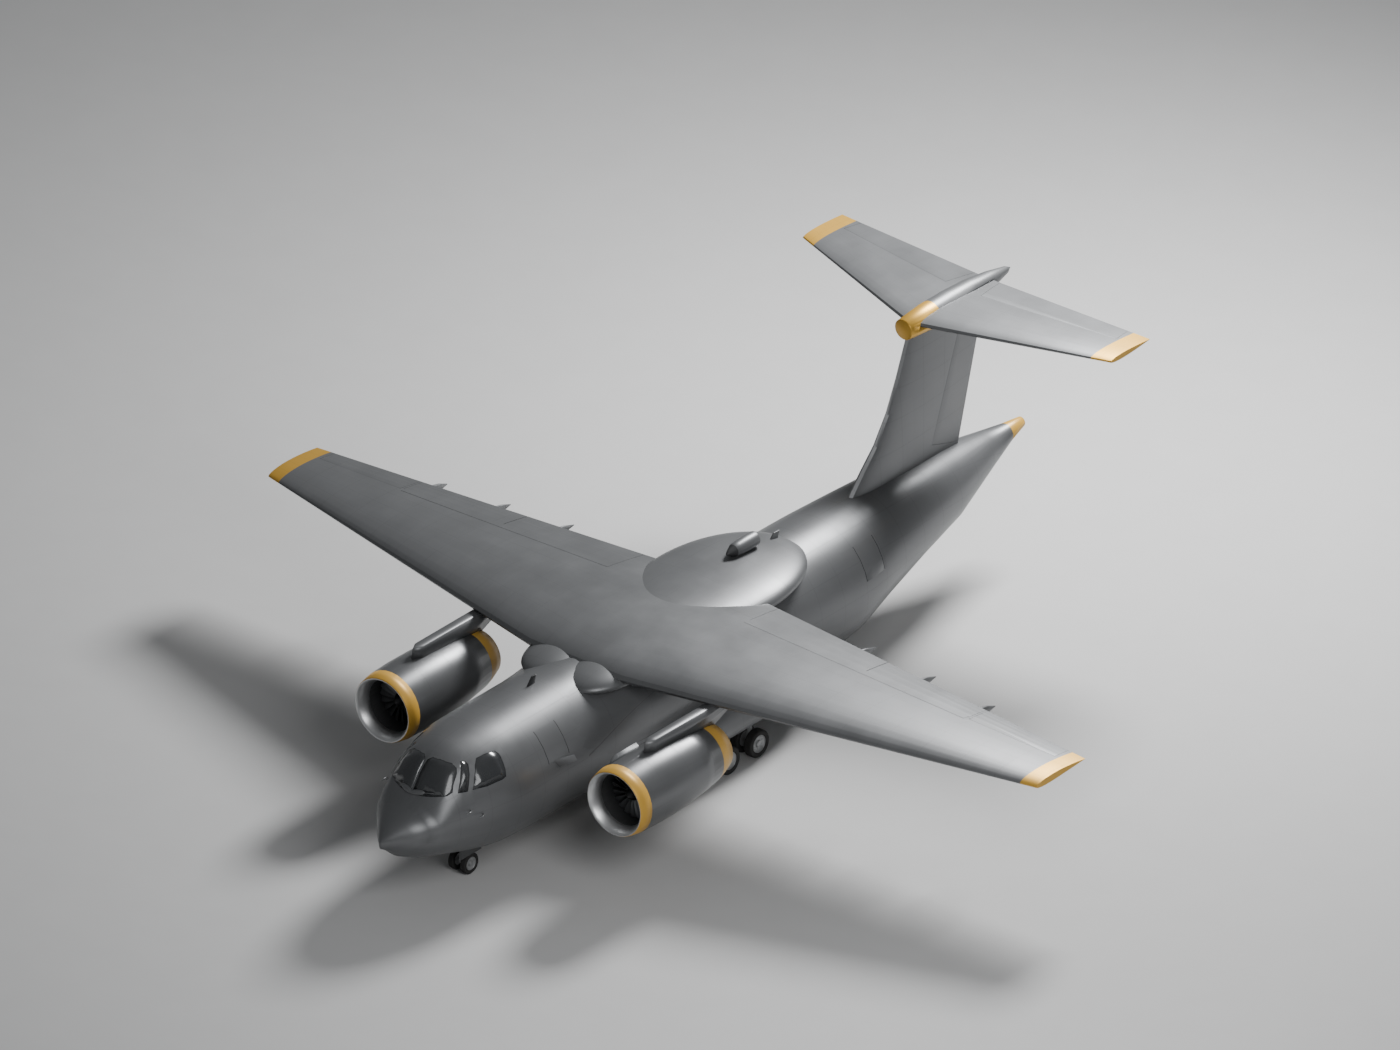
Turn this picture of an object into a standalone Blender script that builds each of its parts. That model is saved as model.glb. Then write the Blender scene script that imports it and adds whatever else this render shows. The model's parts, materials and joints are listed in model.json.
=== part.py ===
"""A twin-jet, high-wing military transport plane, parked on its landing gear.

Lengths are in metres. A place on the plane is (across, station, height): across is positive to port,
stations run aft from the tip of the nose, and heights run up from the ground. The world has +X to port
and the nose towards -Y, with its origin on the ground under the middle of the plane's length.
"""

import math

import bmesh
import bpy
from mathutils import Matrix, Vector

# The whole plane
LENGTH = 35.25
SPAN = 35.04
NOSE_TIP_HEIGHT = 3.02
GAP = 0.0003  # between pieces that touch
MOVING_GAP = 0.012  # round pieces that move
ROUND = 32  # sides of the fuselage and the engines

# Fuselage: station, then crown, belly, half width and widest line, with heights from the nose tip
FUSELAGE = (
    (0.00, 0.02, -0.02, 0.02, 0.00),
    (0.04, 0.10, -0.20, 0.07, 0.02),
    (0.30, 0.33, -0.36, 0.34, 0.05),
    (0.80, 0.68, -0.78, 0.80, 0.08),
    (1.30, 0.98, -1.02, 1.22, 0.20),
    (1.62, 1.17, -1.13, 1.46, 0.28),
    (1.78, 1.42, -1.17, 1.54, 0.27),
    (2.15, 1.95, -1.27, 1.68, 0.24),
    (2.57, 2.36, -1.38, 1.80, 0.22),
    (3.00, 2.58, -1.50, 1.95, 0.26),
    (3.60, 2.73, -1.66, 2.12, 0.34),
    (5.00, 2.83, -1.92, 2.41, 0.42),
    (6.50, 2.85, -2.01, 2.43, 0.42),
    (23.50, 2.85, -2.01, 2.43, 0.42),
    (26.00, 2.85, -1.35, 2.10, 0.75),
    (28.20, 2.82, -0.70, 1.76, 1.06),
    (30.60, 2.65, -0.09, 1.37, 1.28),
    (33.10, 2.30, 0.90, 0.70, 1.60),
    (34.40, 2.12, 1.40, 0.36, 1.76),
    (35.25, 2.04, 1.65, 0.19, 1.85),
)
WALL = 0.10
RADOME_END = 1.30
COCKPIT_END = 5.40
FORWARD_END = 10.40
CENTRE_END = 18.60
AFT_END = 25.30
TAIL_END = 34.40

# Wing: values at the root and at the tip
WING_ROOT = 2.10
WING_TIP = SPAN / 2
WING_FRONT = (10.70, 14.99)
WING_REAR = (18.285, 17.68)
WING_LEVEL = (2.745, 2.095)
WING_RATIO = (0.125, 0.105)
WING_CAMBER = 0.015
FLAP_LINE = 0.76  # share of the chord ahead of the flaps
FLAP_ENDS = (3.10, 8.25, 12.85)
AILERON_LINE = 0.74
AILERON_ENDS = (12.98, 16.75)
FAIRING_TIPS = ((6.90, 18.99), (9.70, 18.88), (12.50, 18.77))
FLAP_DROP = 0.50  # of the flap hinge below the chord
KNUCKLE_RADIUS = 0.15
PIN_RADIUS = 0.03
PIN_ROOT = 0.10  # how deep a hinge pin sits in the fixed piece
PIN_REACH = 0.06  # how far it reaches into the surface that turns on it

# Engines
ENGINE_ACROSS = 5.294
ENGINE_LEVEL = 0.69
INLET = 6.50
BAND_END = 7.02
COWL_END = 11.20
NOZZLE_END = 11.97
DUCT_RADIUS = 1.00
FAN_BLADES = 12
FAN_REAR = 7.86  # station where the fan's shaft meets the core
STRAKE_TOP = 1.49  # radius of the cowl strake's outer edge
STRAKE_LEAN = math.radians(40)  # from the vertical, towards the fuselage

# Tail
FIN_FRONT = (
    (2.0, 24.85), (2.77, 25.70), (3.56, 26.43), (4.30, 27.15),
    (5.30, 27.82), (6.48, 28.37), (7.74, 28.87), (8.20, 29.05),
)
FIN_REAR = ((2.0, 31.64), (8.20, 33.34))
FIN_RATIO = 0.10
RUDDER_LINE = 0.70
RUDDER_ENDS = (3.15, 7.55)
STABILISER_TIP = 7.02
STABILISER_FRONT = (29.06, 31.71)
STABILISER_REAR = (33.36, 33.88)
STABILISER_LEVEL = (8.44, 8.25)
ELEVATOR_LINE = 0.68
ELEVATOR_ENDS = (0.80, 6.20)
BULLET_LEVEL = 8.31

# Landing gear
NOSE_AXLE = (4.60, 0.40)  # station, height and tyre radius
MAIN_AXLES = (15.90, 17.50)
MAIN_RADIUS = 0.53
MAIN_ACROSS = 2.35
AXLE_RADIUS = 0.06

# Doors: stations, and heights from the nose tip
HATCH = (6.55, 7.68, 1.20, 2.26)
SIDE_DOOR = (24.02, 25.14, 1.05, 2.20)
RAMP = (20.50, 25.27)
RAMP_HALF_WIDTH = 1.45
RAMP_REAR_LEAN = 0.70  # how far the ramp's rear face leans forward for its height
RAMP_REAR_GAP = 0.03  # from that face to the door above
UPPER_DOOR = (25.33, 29.60)
UPPER_DOOR_HALF_WIDTHS = (1.45, 0.85)
UPPER_DOOR_CORNER = 0.14  # how much narrower its front end is, to clear the tail's wall when it is up

PAINTS = {
    "grey": ((0.20, 0.205, 0.21), 0.2, 0.42),
    "dark_grey": ((0.10, 0.10, 0.105), 0.2, 0.55),
    "yellow": ((0.60, 0.38, 0.07), 0.0, 0.45),
    "bare_metal": ((0.55, 0.56, 0.57), 0.9, 0.3),
    "steel": ((0.35, 0.35, 0.36), 0.8, 0.35),
    "glass": ((0.03, 0.035, 0.04), 0.0, 0.05),
    "tyre": ((0.02, 0.02, 0.02), 0.0, 0.85),
    "cloth": ((0.10, 0.11, 0.10), 0.0, 0.9),
}


def tip(height):
    """Height above the ground of a height measured from the nose tip."""
    return NOSE_TIP_HEIGHT + height


def world(point):
    return Vector((point[0], point[1] - LENGTH / 2, point[2]))


def between(ends, share):
    return ends[0] + (ends[1] - ends[0]) * share


def smooth_curve(points):
    """A function through (place, value) points that adds no bumps between them."""
    places = [p[0] for p in points]
    values = [p[1] for p in points]
    steps = [b - a for a, b in zip(places, places[1:])]
    rises = [(b - a) / step for a, b, step in zip(values, values[1:], steps)]
    slopes = [rises[0]]
    for (step_a, step_b), (rise_a, rise_b) in zip(zip(steps, steps[1:]), zip(rises, rises[1:])):
        if rise_a * rise_b <= 0:
            slopes.append(0.0)
        else:
            near, far = 2 * step_b + step_a, step_b + 2 * step_a
            slopes.append((near + far) / (near / rise_a + far / rise_b))
    slopes.append(rises[-1])

    def value(place):
        place = min(max(place, places[0]), places[-1])
        i = max(k for k in range(len(steps)) if places[k] <= place)
        t = (place - places[i]) / steps[i]
        start = (1 + 2 * t) * (1 - t) ** 2 * values[i] + t * (1 - t) ** 2 * steps[i] * slopes[i]
        end = t * t * (3 - 2 * t) * values[i + 1] + t * t * (t - 1) * steps[i] * slopes[i + 1]
        return start + end

    return value


crown = smooth_curve([(row[0], row[1]) for row in FUSELAGE])
belly = smooth_curve([(row[0], row[2]) for row in FUSELAGE])
half_width = smooth_curve([(row[0], row[3]) for row in FUSELAGE])
widest = smooth_curve([(row[0], row[4]) for row in FUSELAGE])
fin_front = smooth_curve(FIN_FRONT)
fin_rear = smooth_curve(FIN_REAR)


# Making bodies


def finish(bm, name):
    """An object from a closed mesh, with its faces turned outwards."""
    bmesh.ops.recalc_face_normals(bm, faces=bm.faces)
    if bm.calc_volume(signed=True) < 0:
        bmesh.ops.reverse_faces(bm, faces=bm.faces)
    mesh = bpy.data.meshes.new(name)
    bm.to_mesh(mesh)
    bm.free()
    obj = bpy.data.objects.new(name, mesh)
    PARTS.objects.link(obj)
    return obj


def skin(bm, rows):
    """Triangles between rows of vertices that run round a body."""
    for near, far in zip(rows, rows[1:]):
        for i in range(len(near)):
            j = (i + 1) % len(near)
            bm.faces.new((near[i], near[j], far[j]))
            bm.faces.new((near[i], far[j], far[i]))


def loft(name, rings):
    """A solid through rings with the same number of points."""
    bm = bmesh.new()
    rows = [[bm.verts.new(world(p)) for p in ring] for ring in rings]
    skin(bm, rows)
    bm.faces.new(rows[0])
    bm.faces.new(rows[-1])
    return finish(bm, name)


def tube(name, outer, inner):
    """A wall between outer and inner rings, open at both ends."""
    bm = bmesh.new()
    outside = [[bm.verts.new(world(p)) for p in ring] for ring in outer]
    inside = [[bm.verts.new(world(p)) for p in ring] for ring in inner]
    skin(bm, outside)
    skin(bm, inside)
    for near, far in ((outside[0], inside[0]), (outside[-1], inside[-1])):
        for i in range(len(near)):
            j = (i + 1) % len(near)
            bm.faces.new((near[i], near[j], far[j], far[i]))
    return finish(bm, name)


def prism(name, outline, along, start, end):
    """A flat outline run along X, Y or Z from start to end; its points are the other two values, in order."""
    place = {
        "X": lambda d, p: (d, p[0], p[1]),
        "Y": lambda d, p: (p[0], d, p[1]),
        "Z": lambda d, p: (p[0], p[1], d),
    }
    return loft(name, [[place[along](d, p) for p in outline] for d in (start, end)])


def box(name, low, high):
    corners = [(low[1], low[2]), (high[1], low[2]), (high[1], high[2]), (low[1], high[2])]
    return prism(name, corners, "X", low[0], high[0])


def blob(name, centre, across, fore_aft, up_down, square=2.0, sides=32, rings=16):
    """A rounded lump with its own reach forward, aft, up and down; square makes its plan squarer."""
    bm = bmesh.new()
    bmesh.ops.create_uvsphere(bm, u_segments=sides, v_segments=rings, radius=1.0)
    for v in bm.verts:
        reach = math.hypot(v.co.x, v.co.y)
        if reach > 0:
            grow = ((abs(v.co.x) / reach) ** square + (abs(v.co.y) / reach) ** square) ** (-1 / square)
            v.co.x *= grow
            v.co.y *= grow
        v.co.x *= across
        v.co.y *= fore_aft[0] if v.co.y < 0 else fore_aft[1]
        v.co.z *= up_down[0] if v.co.z > 0 else up_down[1]
        v.co += world(centre)
    return finish(bm, name)


def turned(name, profile, centre, along="Y", sides=ROUND):
    """A body turned about an axis. The profile's points are (distance along the axis, radius).

    A profile that does not start and end on the axis is a closed ring.
    """
    bm = bmesh.new()
    points = [bm.verts.new((radius, 0, distance)) for distance, radius in profile]
    for a, b in zip(points, points[1:]):
        bm.edges.new((a, b))
    if profile[0][1] > 0:
        bm.edges.new((points[-1], points[0]))
    mesh = bpy.data.meshes.new(name)
    bm.to_mesh(mesh)
    bm.free()
    obj = bpy.data.objects.new(name, mesh)
    PARTS.objects.link(obj)
    screw = obj.modifiers.new("Screw", "SCREW")
    screw.axis = "Z"
    screw.steps = screw.render_steps = sides
    screw.use_merge_vertices = True
    screw.merge_threshold = 0.0001
    apply_modifiers(obj)
    quarter = math.pi / 2
    turn = {"X": Matrix.Rotation(quarter, 4, "Y"), "Y": Matrix.Rotation(-quarter, 4, "X"), "Z": Matrix()}
    obj.data.transform(Matrix.Translation(world(centre)) @ turn[along])
    bm = bmesh.new()
    bm.from_mesh(obj.data)
    bmesh.ops.remove_doubles(bm, verts=bm.verts, dist=0.00001)
    bpy.data.objects.remove(obj, do_unlink=True)
    return finish(bm, name)


def apply_modifiers(obj):
    bpy.context.view_layer.update()
    graph = bpy.context.evaluated_depsgraph_get()
    mesh = bpy.data.meshes.new_from_object(obj.evaluated_get(graph))
    obj.modifiers.clear()
    obj.data = mesh


def combine(operation, obj, *others, keep=False, solver="EXACT"):
    """UNION, DIFFERENCE or INTERSECT of an object with others, applied to its mesh."""
    for other in others:
        modifier = obj.modifiers.new("Boolean", "BOOLEAN")
        modifier.operation = operation
        modifier.solver = solver
        modifier.object = other
        apply_modifiers(obj)
        if not keep:
            bpy.data.objects.remove(other, do_unlink=True)
    return obj


def copy_of(obj, name):
    other = bpy.data.objects.new(name, obj.data.copy())
    PARTS.objects.link(other)
    return other


def mirrored(obj, name):
    """The same body on the other side of the plane."""
    bm = bmesh.new()
    bm.from_mesh(obj.data)
    bm.transform(Matrix.Scale(-1, 4, (1, 0, 0)))
    return finish(bm, name)


def both_sides(obj, name):
    """The port body and its starboard twin, named for their sides."""
    obj.name = name + "_port"
    return obj, mirrored(obj, name + "_starboard")


def join_at_middle(obj):
    """Adds the starboard half to a port half that ends on the plane's centreline."""
    bm = bmesh.new()
    bm.from_mesh(obj.data)
    caps = [f for f in bm.faces if all(abs(v.co.x) < 0.0001 for v in f.verts)]
    bmesh.ops.delete(bm, geom=caps, context="FACES_ONLY")
    bmesh.ops.mirror(bm, geom=bm.verts[:] + bm.edges[:] + bm.faces[:], axis="X", merge_dist=0.0001)
    bmesh.ops.recalc_face_normals(bm, faces=bm.faces)
    bm.to_mesh(obj.data)
    bm.free()


def clean(obj):
    """Closes up the slivers that cutting leaves."""
    bm = bmesh.new()
    bm.from_mesh(obj.data)
    bmesh.ops.triangulate(bm, faces=bm.faces)
    bmesh.ops.remove_doubles(bm, verts=bm.verts, dist=0.0001)
    bmesh.ops.dissolve_degenerate(bm, edges=bm.edges, dist=0.00005)
    bm.to_mesh(obj.data)
    bm.free()


def pick_out(paint, *objects):
    """Gives each object a material of its own and smooth shading."""
    colour, metallic, roughness = PAINTS[paint]
    for obj in objects:
        clean(obj)
        material = bpy.data.materials.new(obj.name)
        material.use_nodes = True
        shader = material.node_tree.nodes["Principled BSDF"]
        shader.inputs["Base Color"].default_value = (*colour, 1)
        shader.inputs["Metallic"].default_value = metallic
        shader.inputs["Roughness"].default_value = roughness
        obj.data.materials.clear()
        obj.data.materials.append(material)
        obj.data.shade_smooth()
        obj.data.set_sharp_from_angle(angle=math.radians(35))


# Sections of the fuselage, the wing and the tail


def fuselage_ring(station, grow=0.0):
    """Points round the fuselage at a station, moved outwards by grow."""
    level = widest(station)
    ring = []
    for i in range(ROUND):
        angle = 2 * math.pi * i / ROUND
        tall = crown(station) - level if math.sin(angle) > 0 else level - belly(station)
        across = (half_width(station) + grow) * math.cos(angle)
        ring.append((across, station, tip(level) + (tall + grow) * math.sin(angle)))
    return ring


def stations_between(start, end):
    """The stations of the fuselage's shape from start to end, with more where it bends."""
    fine = (0.0, 0.04, 0.3, 0.8, 1.3, 1.62, 1.78, 2.15, 2.57, 3.05, 3.6, 4.3, 5.0, 5.4, 6.5)
    coarse = (23.5, 24.4, 25.3, 26.0, 28.2, 30.6, 33.1, 34.4, 35.25)
    inner = [s for s in fine + coarse if start + 0.05 < s < end - 0.05 or (s < 0.3 and start < s)]
    return [start] + [s for s in inner if s < end] + [end]


def fuselage_rings(start, end, grow=0.0):
    return [fuselage_ring(s, grow) for s in stations_between(start, end)]


def fuselage_solid(grow, start=1.0, end=34.9):
    return loft("fuselage_solid", fuselage_rings(start, end, grow))


def aerofoil(chord, ratio, camber, grow=0.0, count=14):
    """Points (aft, up) of a wing section, over the top from the trailing edge and back underneath."""
    shares = [(1 - math.cos(math.pi * i / count)) / 2 for i in range(count + 1)]
    top, under = [], []
    for share in shares:
        half = section_half(share, ratio) * chord
        middle = 4 * camber * share * (1 - share) * chord
        aft = share * (chord + 2 * grow) - grow
        top.append((aft, middle + half + grow))
        under.append((aft, middle - half - grow))
    return top[::-1] + under[1:]


def section_half(share, ratio):
    """Half the thickness of a wing section at a share of its chord, over the chord."""
    terms = 0.2969 * math.sqrt(share) - 0.1260 * share - 0.3516 * share**2
    return 5 * ratio * (terms + 0.2843 * share**3 - 0.1015 * share**4)


def wing_share(across):
    return (across - WING_ROOT) / (WING_TIP - WING_ROOT)


def wing_ring(across, grow=0.0):
    share = max(wing_share(abs(across)), 0.0)
    front, level = between(WING_FRONT, share), tip(between(WING_LEVEL, share))
    chord = between(WING_REAR, share) - front
    points = aerofoil(chord, between(WING_RATIO, share), WING_CAMBER, grow)
    return [(across, front + aft, level + up) for aft, up in points]


def half_wing(grow):
    return loft("wing", [wing_ring(x, grow) for x in (0.0, WING_ROOT, WING_TIP)])


def wing_solid(grow):
    """The whole wing without its control surfaces cut, moved outwards by grow."""
    wing = half_wing(grow)
    join_at_middle(wing)
    return wing


def wing_spar(across, line):
    """The middle of the wing's thickness at a share of its chord, and half that thickness."""
    share = wing_share(across)
    front = between(WING_FRONT, share)
    chord = between(WING_REAR, share) - front
    up = 4 * WING_CAMBER * line * (1 - line) * chord
    half = section_half(line, between(WING_RATIO, share)) * chord
    return Vector((across, front + line * chord, tip(between(WING_LEVEL, share)) + up)), half


def stabiliser_ring(across, grow=0.0):
    share = abs(across) / STABILISER_TIP
    front, level = between(STABILISER_FRONT, share), tip(between(STABILISER_LEVEL, share))
    points = aerofoil(between(STABILISER_REAR, share) - front, 0.10, 0.0, grow, 12)
    return [(across, front + aft, level + up) for aft, up in points]


def half_stabiliser(grow):
    return loft("stabiliser", [stabiliser_ring(x, grow) for x in (0.0, STABILISER_TIP)])


def stabiliser_spar(across, line):
    share = across / STABILISER_TIP
    front = between(STABILISER_FRONT, share)
    chord = between(STABILISER_REAR, share) - front
    middle = Vector((across, front + line * chord, tip(between(STABILISER_LEVEL, share))))
    return middle, section_half(line, 0.10) * chord


def fin_ring(height):
    front = fin_front(height)
    points = aerofoil(fin_rear(height) - front, FIN_RATIO, 0.0, 0.0, 12)
    return [(up, front + aft, tip(height)) for aft, up in points]


def fin_spar(height, line):
    front = fin_front(height)
    chord = fin_rear(height) - front
    return Vector((0, front + line * chord, tip(height))), section_half(line, FIN_RATIO) * chord


# Cutters that follow a hinge line


def hinge_frame(start, end, up=Vector((0, 0, 1))):
    """Directions along a hinge line, aft of it and up from it."""
    along = (end - start).normalized()
    aft = up.cross(along).normalized()
    return along, aft, along.cross(aft)


def hinge_block(name, start, end, grow, reach=3.0):
    """All that lies aft of a hinge line between its ends."""
    along, aft, up = hinge_frame(start, end)
    corners = ((0, -reach), (reach, -reach), (reach, reach), (0, reach))
    rings = []
    for end_point, way in ((start, -grow), (end, grow)):
        base = end_point + along * way - aft * grow
        rings.append([base + aft * a + up * u for a, u in corners])
    return loft(name, rings)


def hinge_nose(name, ends, halves, grow, up=Vector((0, 0, 1)), reach=3.0, steps=12):
    """As hinge_block, with a round nose about the hinge line, so that the surface can turn in it."""
    along, aft, rise = hinge_frame(ends[0], ends[1], up)
    corners = ((0, -reach), (reach, -reach), (reach, reach), (0, reach))
    rings = []
    for end_point, half, way in ((ends[0], halves[0], -grow), (ends[1], halves[1], grow)):
        base = end_point + along * way
        radius = half * 1.03 + grow
        ring = []
        for i in range(steps + 1):
            angle = math.pi * i / steps
            ring.append(base - aft * radius * math.sin(angle) + rise * radius * math.cos(angle))
        ring += [base + aft * a + rise * u for a, u in corners]
        rings.append(ring)
    return loft(name, rings)


def rod(name, start, end, radius, up=Vector((0, 0, 1)), sides=16, first=0.5):
    """A round bar between two points."""
    aft, rise = hinge_frame(start, end, up)[1:]
    angles = [2 * math.pi * (i + first) / sides for i in range(sides)]
    circle = [radius * (aft * math.cos(a) + rise * math.sin(a)) for a in angles]
    return loft(name, [[base + spoke for spoke in circle] for base in (start, end)])


def socket(name, start, end, radius, up=Vector((0, 0, 1)), sides=16):
    """The hole in which such a bar turns: its flats clear the bar's corners."""
    return rod(name, start, end, (radius + GAP) / math.cos(math.pi / sides), up, sides, 0.0)


def hinged_surface(whole, name, ends, halves, up=Vector((0, 0, 1)), reach=3.0):
    """Cuts a control surface out of the whole, with room for it to turn on a pin at each end."""
    surface = combine("INTERSECT", copy_of(whole, name), hinge_nose("nose", ends, halves, 0.0, up, reach))
    combine("DIFFERENCE", whole, hinge_nose("cove", ends, halves, MOVING_GAP, up, reach))
    along = (ends[1] - ends[0]).normalized()
    for end, inwards in ((ends[0], along), (ends[1], -along)):
        root, point = end - inwards * PIN_ROOT, end + inwards * PIN_REACH
        combine("UNION", whole, rod("pin", root, point, PIN_RADIUS, up))
        combine("DIFFERENCE", surface, socket("socket", root, point + inwards * GAP, PIN_RADIUS, up))
    return surface


# The fuselage


def fuselage_section(name, start, end):
    start += GAP / 2
    end -= GAP / 2
    return tube(name, fuselage_rings(start, end), fuselage_rings(start, end, -WALL))


def inner_space(start, end):
    return loft("inner_space", fuselage_rings(start, end, -WALL - GAP))


# Outlines of the windows: the windscreen's from ahead, the others' from the side
WINDSCREEN = (
    (0.035, 1.42), (0.19, 1.33), (0.47, 1.34), (0.97, 1.40), (1.25, 1.43), (1.33, 1.52), (1.16, 2.02),
    (1.05, 2.20), (0.88, 2.30), (0.47, 2.39), (0.20, 2.41), (0.06, 2.35), (0.035, 2.20),
)
NARROW_WINDOW = (
    (2.55, 1.46), (2.90, 1.45), (3.10, 1.75), (3.40, 2.20),
    (3.36, 2.30), (3.22, 2.31), (3.12, 2.22), (2.78, 1.78),
)
SIDE_WINDOW = (
    (3.08, 1.46), (3.67, 1.43), (4.33, 1.48), (4.50, 1.53), (4.62, 1.86), (4.68, 2.20),
    (4.60, 2.30), (4.20, 2.32), (3.78, 2.29), (3.57, 2.13), (3.31, 1.79),
)
WINDSCREEN_REAR = 2.96


def shrunk(outline, share):
    middle = [sum(p[k] for p in outline) / len(outline) for k in (0, 1)]
    return [tuple(m + (v - m) * (1 - share) for v, m in zip(p, middle)) for p in outline]


def window_prisms(share):
    """The space of each cockpit window, made smaller by a share of its size."""
    found = []
    for side in (1, -1):
        front = [(side * x, tip(z)) for x, z in shrunk(WINDSCREEN, share)]
        found.append(prism("window", front, "Y", RADOME_END, WINDSCREEN_REAR))
    for outline in (NARROW_WINDOW, SIDE_WINDOW):
        side_view = [(s, tip(z)) for s, z in shrunk(outline, share)]
        found.append(prism("window", side_view, "X", 0.6, 3.0))
        found.append(prism("window", side_view, "X", -3.0, -0.6))
    return found


def make_seats():
    side = [
        (3.16, tip(0.42)), (3.62, tip(0.42)), (3.62, tip(0.72)), (3.86, tip(1.62)), (3.74, tip(1.64)),
        (3.56, tip(0.94)), (3.04, tip(0.94)), (3.04, tip(0.80)), (3.16, tip(0.78)),
    ]
    seats = []
    for side_of_plane in (1, -1):
        ends = sorted((side_of_plane * 0.34, side_of_plane * 0.86))
        seat = prism("seat", side, "X", *ends)
        middle = side_of_plane * 0.60
        head = box("head", (middle - 0.14, 3.76, tip(1.55)), (middle + 0.14, 3.84, tip(1.86)))
        combine("UNION", seat, head)
        seats.append(seat)
    return seats


def make_cockpit():
    shell = fuselage_section("cockpit_shell", RADOME_END, COCKPIT_END)
    combine("DIFFERENCE", shell, *window_prisms(0.0))
    bay = box("bay", (-0.46, 3.79, 0.5), (0.46, 5.11, tip(-1.2)))
    combine("DIFFERENCE", shell, bay)

    def layer(name, outer, inner):
        ends = (RADOME_END, COCKPIT_END)
        return tube(name, fuselage_rings(*ends, outer), fuselage_rings(*ends, inner))

    band = layer("cockpit_glazing", -WALL - GAP, -WALL - 0.03)
    combine("INTERSECT", band, box("slot", (-3, 1.5, tip(1.22)), (3, 4.85, tip(2.47))))
    for space in window_prisms(0.006):
        pane = layer("pane", -0.006, -WALL - 0.02)
        combine("INTERSECT", pane, space)
        combine("UNION", band, pane)

    floor = box("flight_deck", (-3, 2.1, tip(0.38)), (3, 5.30, tip(0.46)))
    wall = box("wall", (-3, 5.22, tip(0.30)), (3, 5.30, tip(3)))
    combine("DIFFERENCE", wall, box("doorway", (-0.38, 5, tip(0.46)), (0.38, 5.5, tip(2.36))))
    combine("UNION", floor, wall, *make_seats())
    combine("INTERSECT", floor, inner_space(1.4, COCKPIT_END))
    pick_out("grey", shell)
    pick_out("glass", band)
    pick_out("dark_grey", floor)
    return shell, band, floor


def make_instrument_panel():
    level = tip(0.46) + GAP
    profile = [(2.16, level), (2.60, level), (2.60, tip(1.02)), (2.42, tip(1.24)), (2.16, tip(1.20))]
    panel = prism("instrument_panel", profile, "X", -1.05, 1.05)
    combine("UNION", panel, box("pedestal", (-0.19, 2.5, level), (0.19, 3.45, tip(0.92))))
    combine("INTERSECT", panel, inner_space(1.4, COCKPIT_END))
    pick_out("dark_grey", panel)


def make_hold():
    """The fuselage behind the cockpit, its hatch, doors and ramp, and the cargo floor."""
    forward = fuselage_section("forward_fuselage", COCKPIT_END, FORWARD_END)
    start, end, low, high = HATCH
    opening = box("opening", (0.5, start, tip(low)), (3, end, tip(high)))
    door_space = box("door_space", (0.5, start + 0.006, tip(low) + 0.006), (3, end - 0.006, tip(high) - GAP))
    hatch = combine("INTERSECT", copy_of(forward, "crew_hatch"), door_space)
    combine("DIFFERENCE", forward, opening)

    centre = fuselage_section("centre_fuselage", FORWARD_END, CENTRE_END)
    combine("DIFFERENCE", centre, wing_solid(GAP))

    aft = fuselage_section("aft_fuselage", CENTRE_END, AFT_END)
    start, end, low, high = SIDE_DOOR
    doors = []
    for side, ends in (("port", (0.5, 3)), ("starboard", (-3, -0.5))):
        inner = box("inner", (ends[0], start + GAP, tip(low) + GAP), (ends[1], end - GAP, tip(high) - GAP))
        doors.append(combine("INTERSECT", copy_of(aft, "side_door_" + side), inner))
        combine("DIFFERENCE", aft, box("opening", (ends[0], start, tip(low)), (ends[1], end, tip(high))))
    ramp = make_ramp(aft)

    tail = fuselage_section("tail_cone", AFT_END, TAIL_END)
    upper_door = make_upper_door(tail)

    floor = box("cargo_floor", (-3, 5.55, tip(-1.34)), (3, RAMP[0] - 0.05, tip(-1.22)))
    combine("INTERSECT", floor, inner_space(5, 21))
    pick_out("grey", forward, hatch, centre, aft, *doors, tail, upper_door)
    pick_out("dark_grey", floor, ramp)


def rear_face(height, back=0.0):
    """The station of the ramp's rear face at a height above the ground."""
    foot = tip(belly(RAMP[1]))
    return RAMP[1] + back - RAMP_REAR_LEAN * (height - foot)


def make_ramp(aft):
    """The cargo ramp: its skin, its flat deck and the beams between them."""
    start = RAMP[0]
    wide = RAMP_HALF_WIDTH
    top = tip(-0.4)
    side = [(start, 0), (rear_face(0), 0), (rear_face(top), top), (start, top)]
    ramp = combine("INTERSECT", copy_of(aft, "cargo_ramp"), prism("space", side, "X", -wide, wide))
    opening = box("opening", (-wide - 0.01, start - GAP, 0), (wide + 0.01, AFT_END + 1, top))
    combine("DIFFERENCE", aft, opening)
    front = start + 0.03
    deck = [(front, tip(-1.30)), (24.70, tip(-0.98)), (24.70, tip(-0.90)), (front, tip(-1.22))]
    beam = [(front + 0.05, tip(-2.2)), (24.60, tip(-1.75)), (24.60, tip(-0.94)), (front + 0.05, tip(-1.26))]
    frame = prism("frame", deck, "X", -1.30, 1.30)
    for across in (-1.1, 0.0, 1.1):
        combine("UNION", frame, prism("beam", beam, "X", across - 0.06, across + 0.06))
    combine("INTERSECT", frame, fuselage_solid(-0.05, 19, 26))
    return combine("UNION", ramp, frame)


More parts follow.
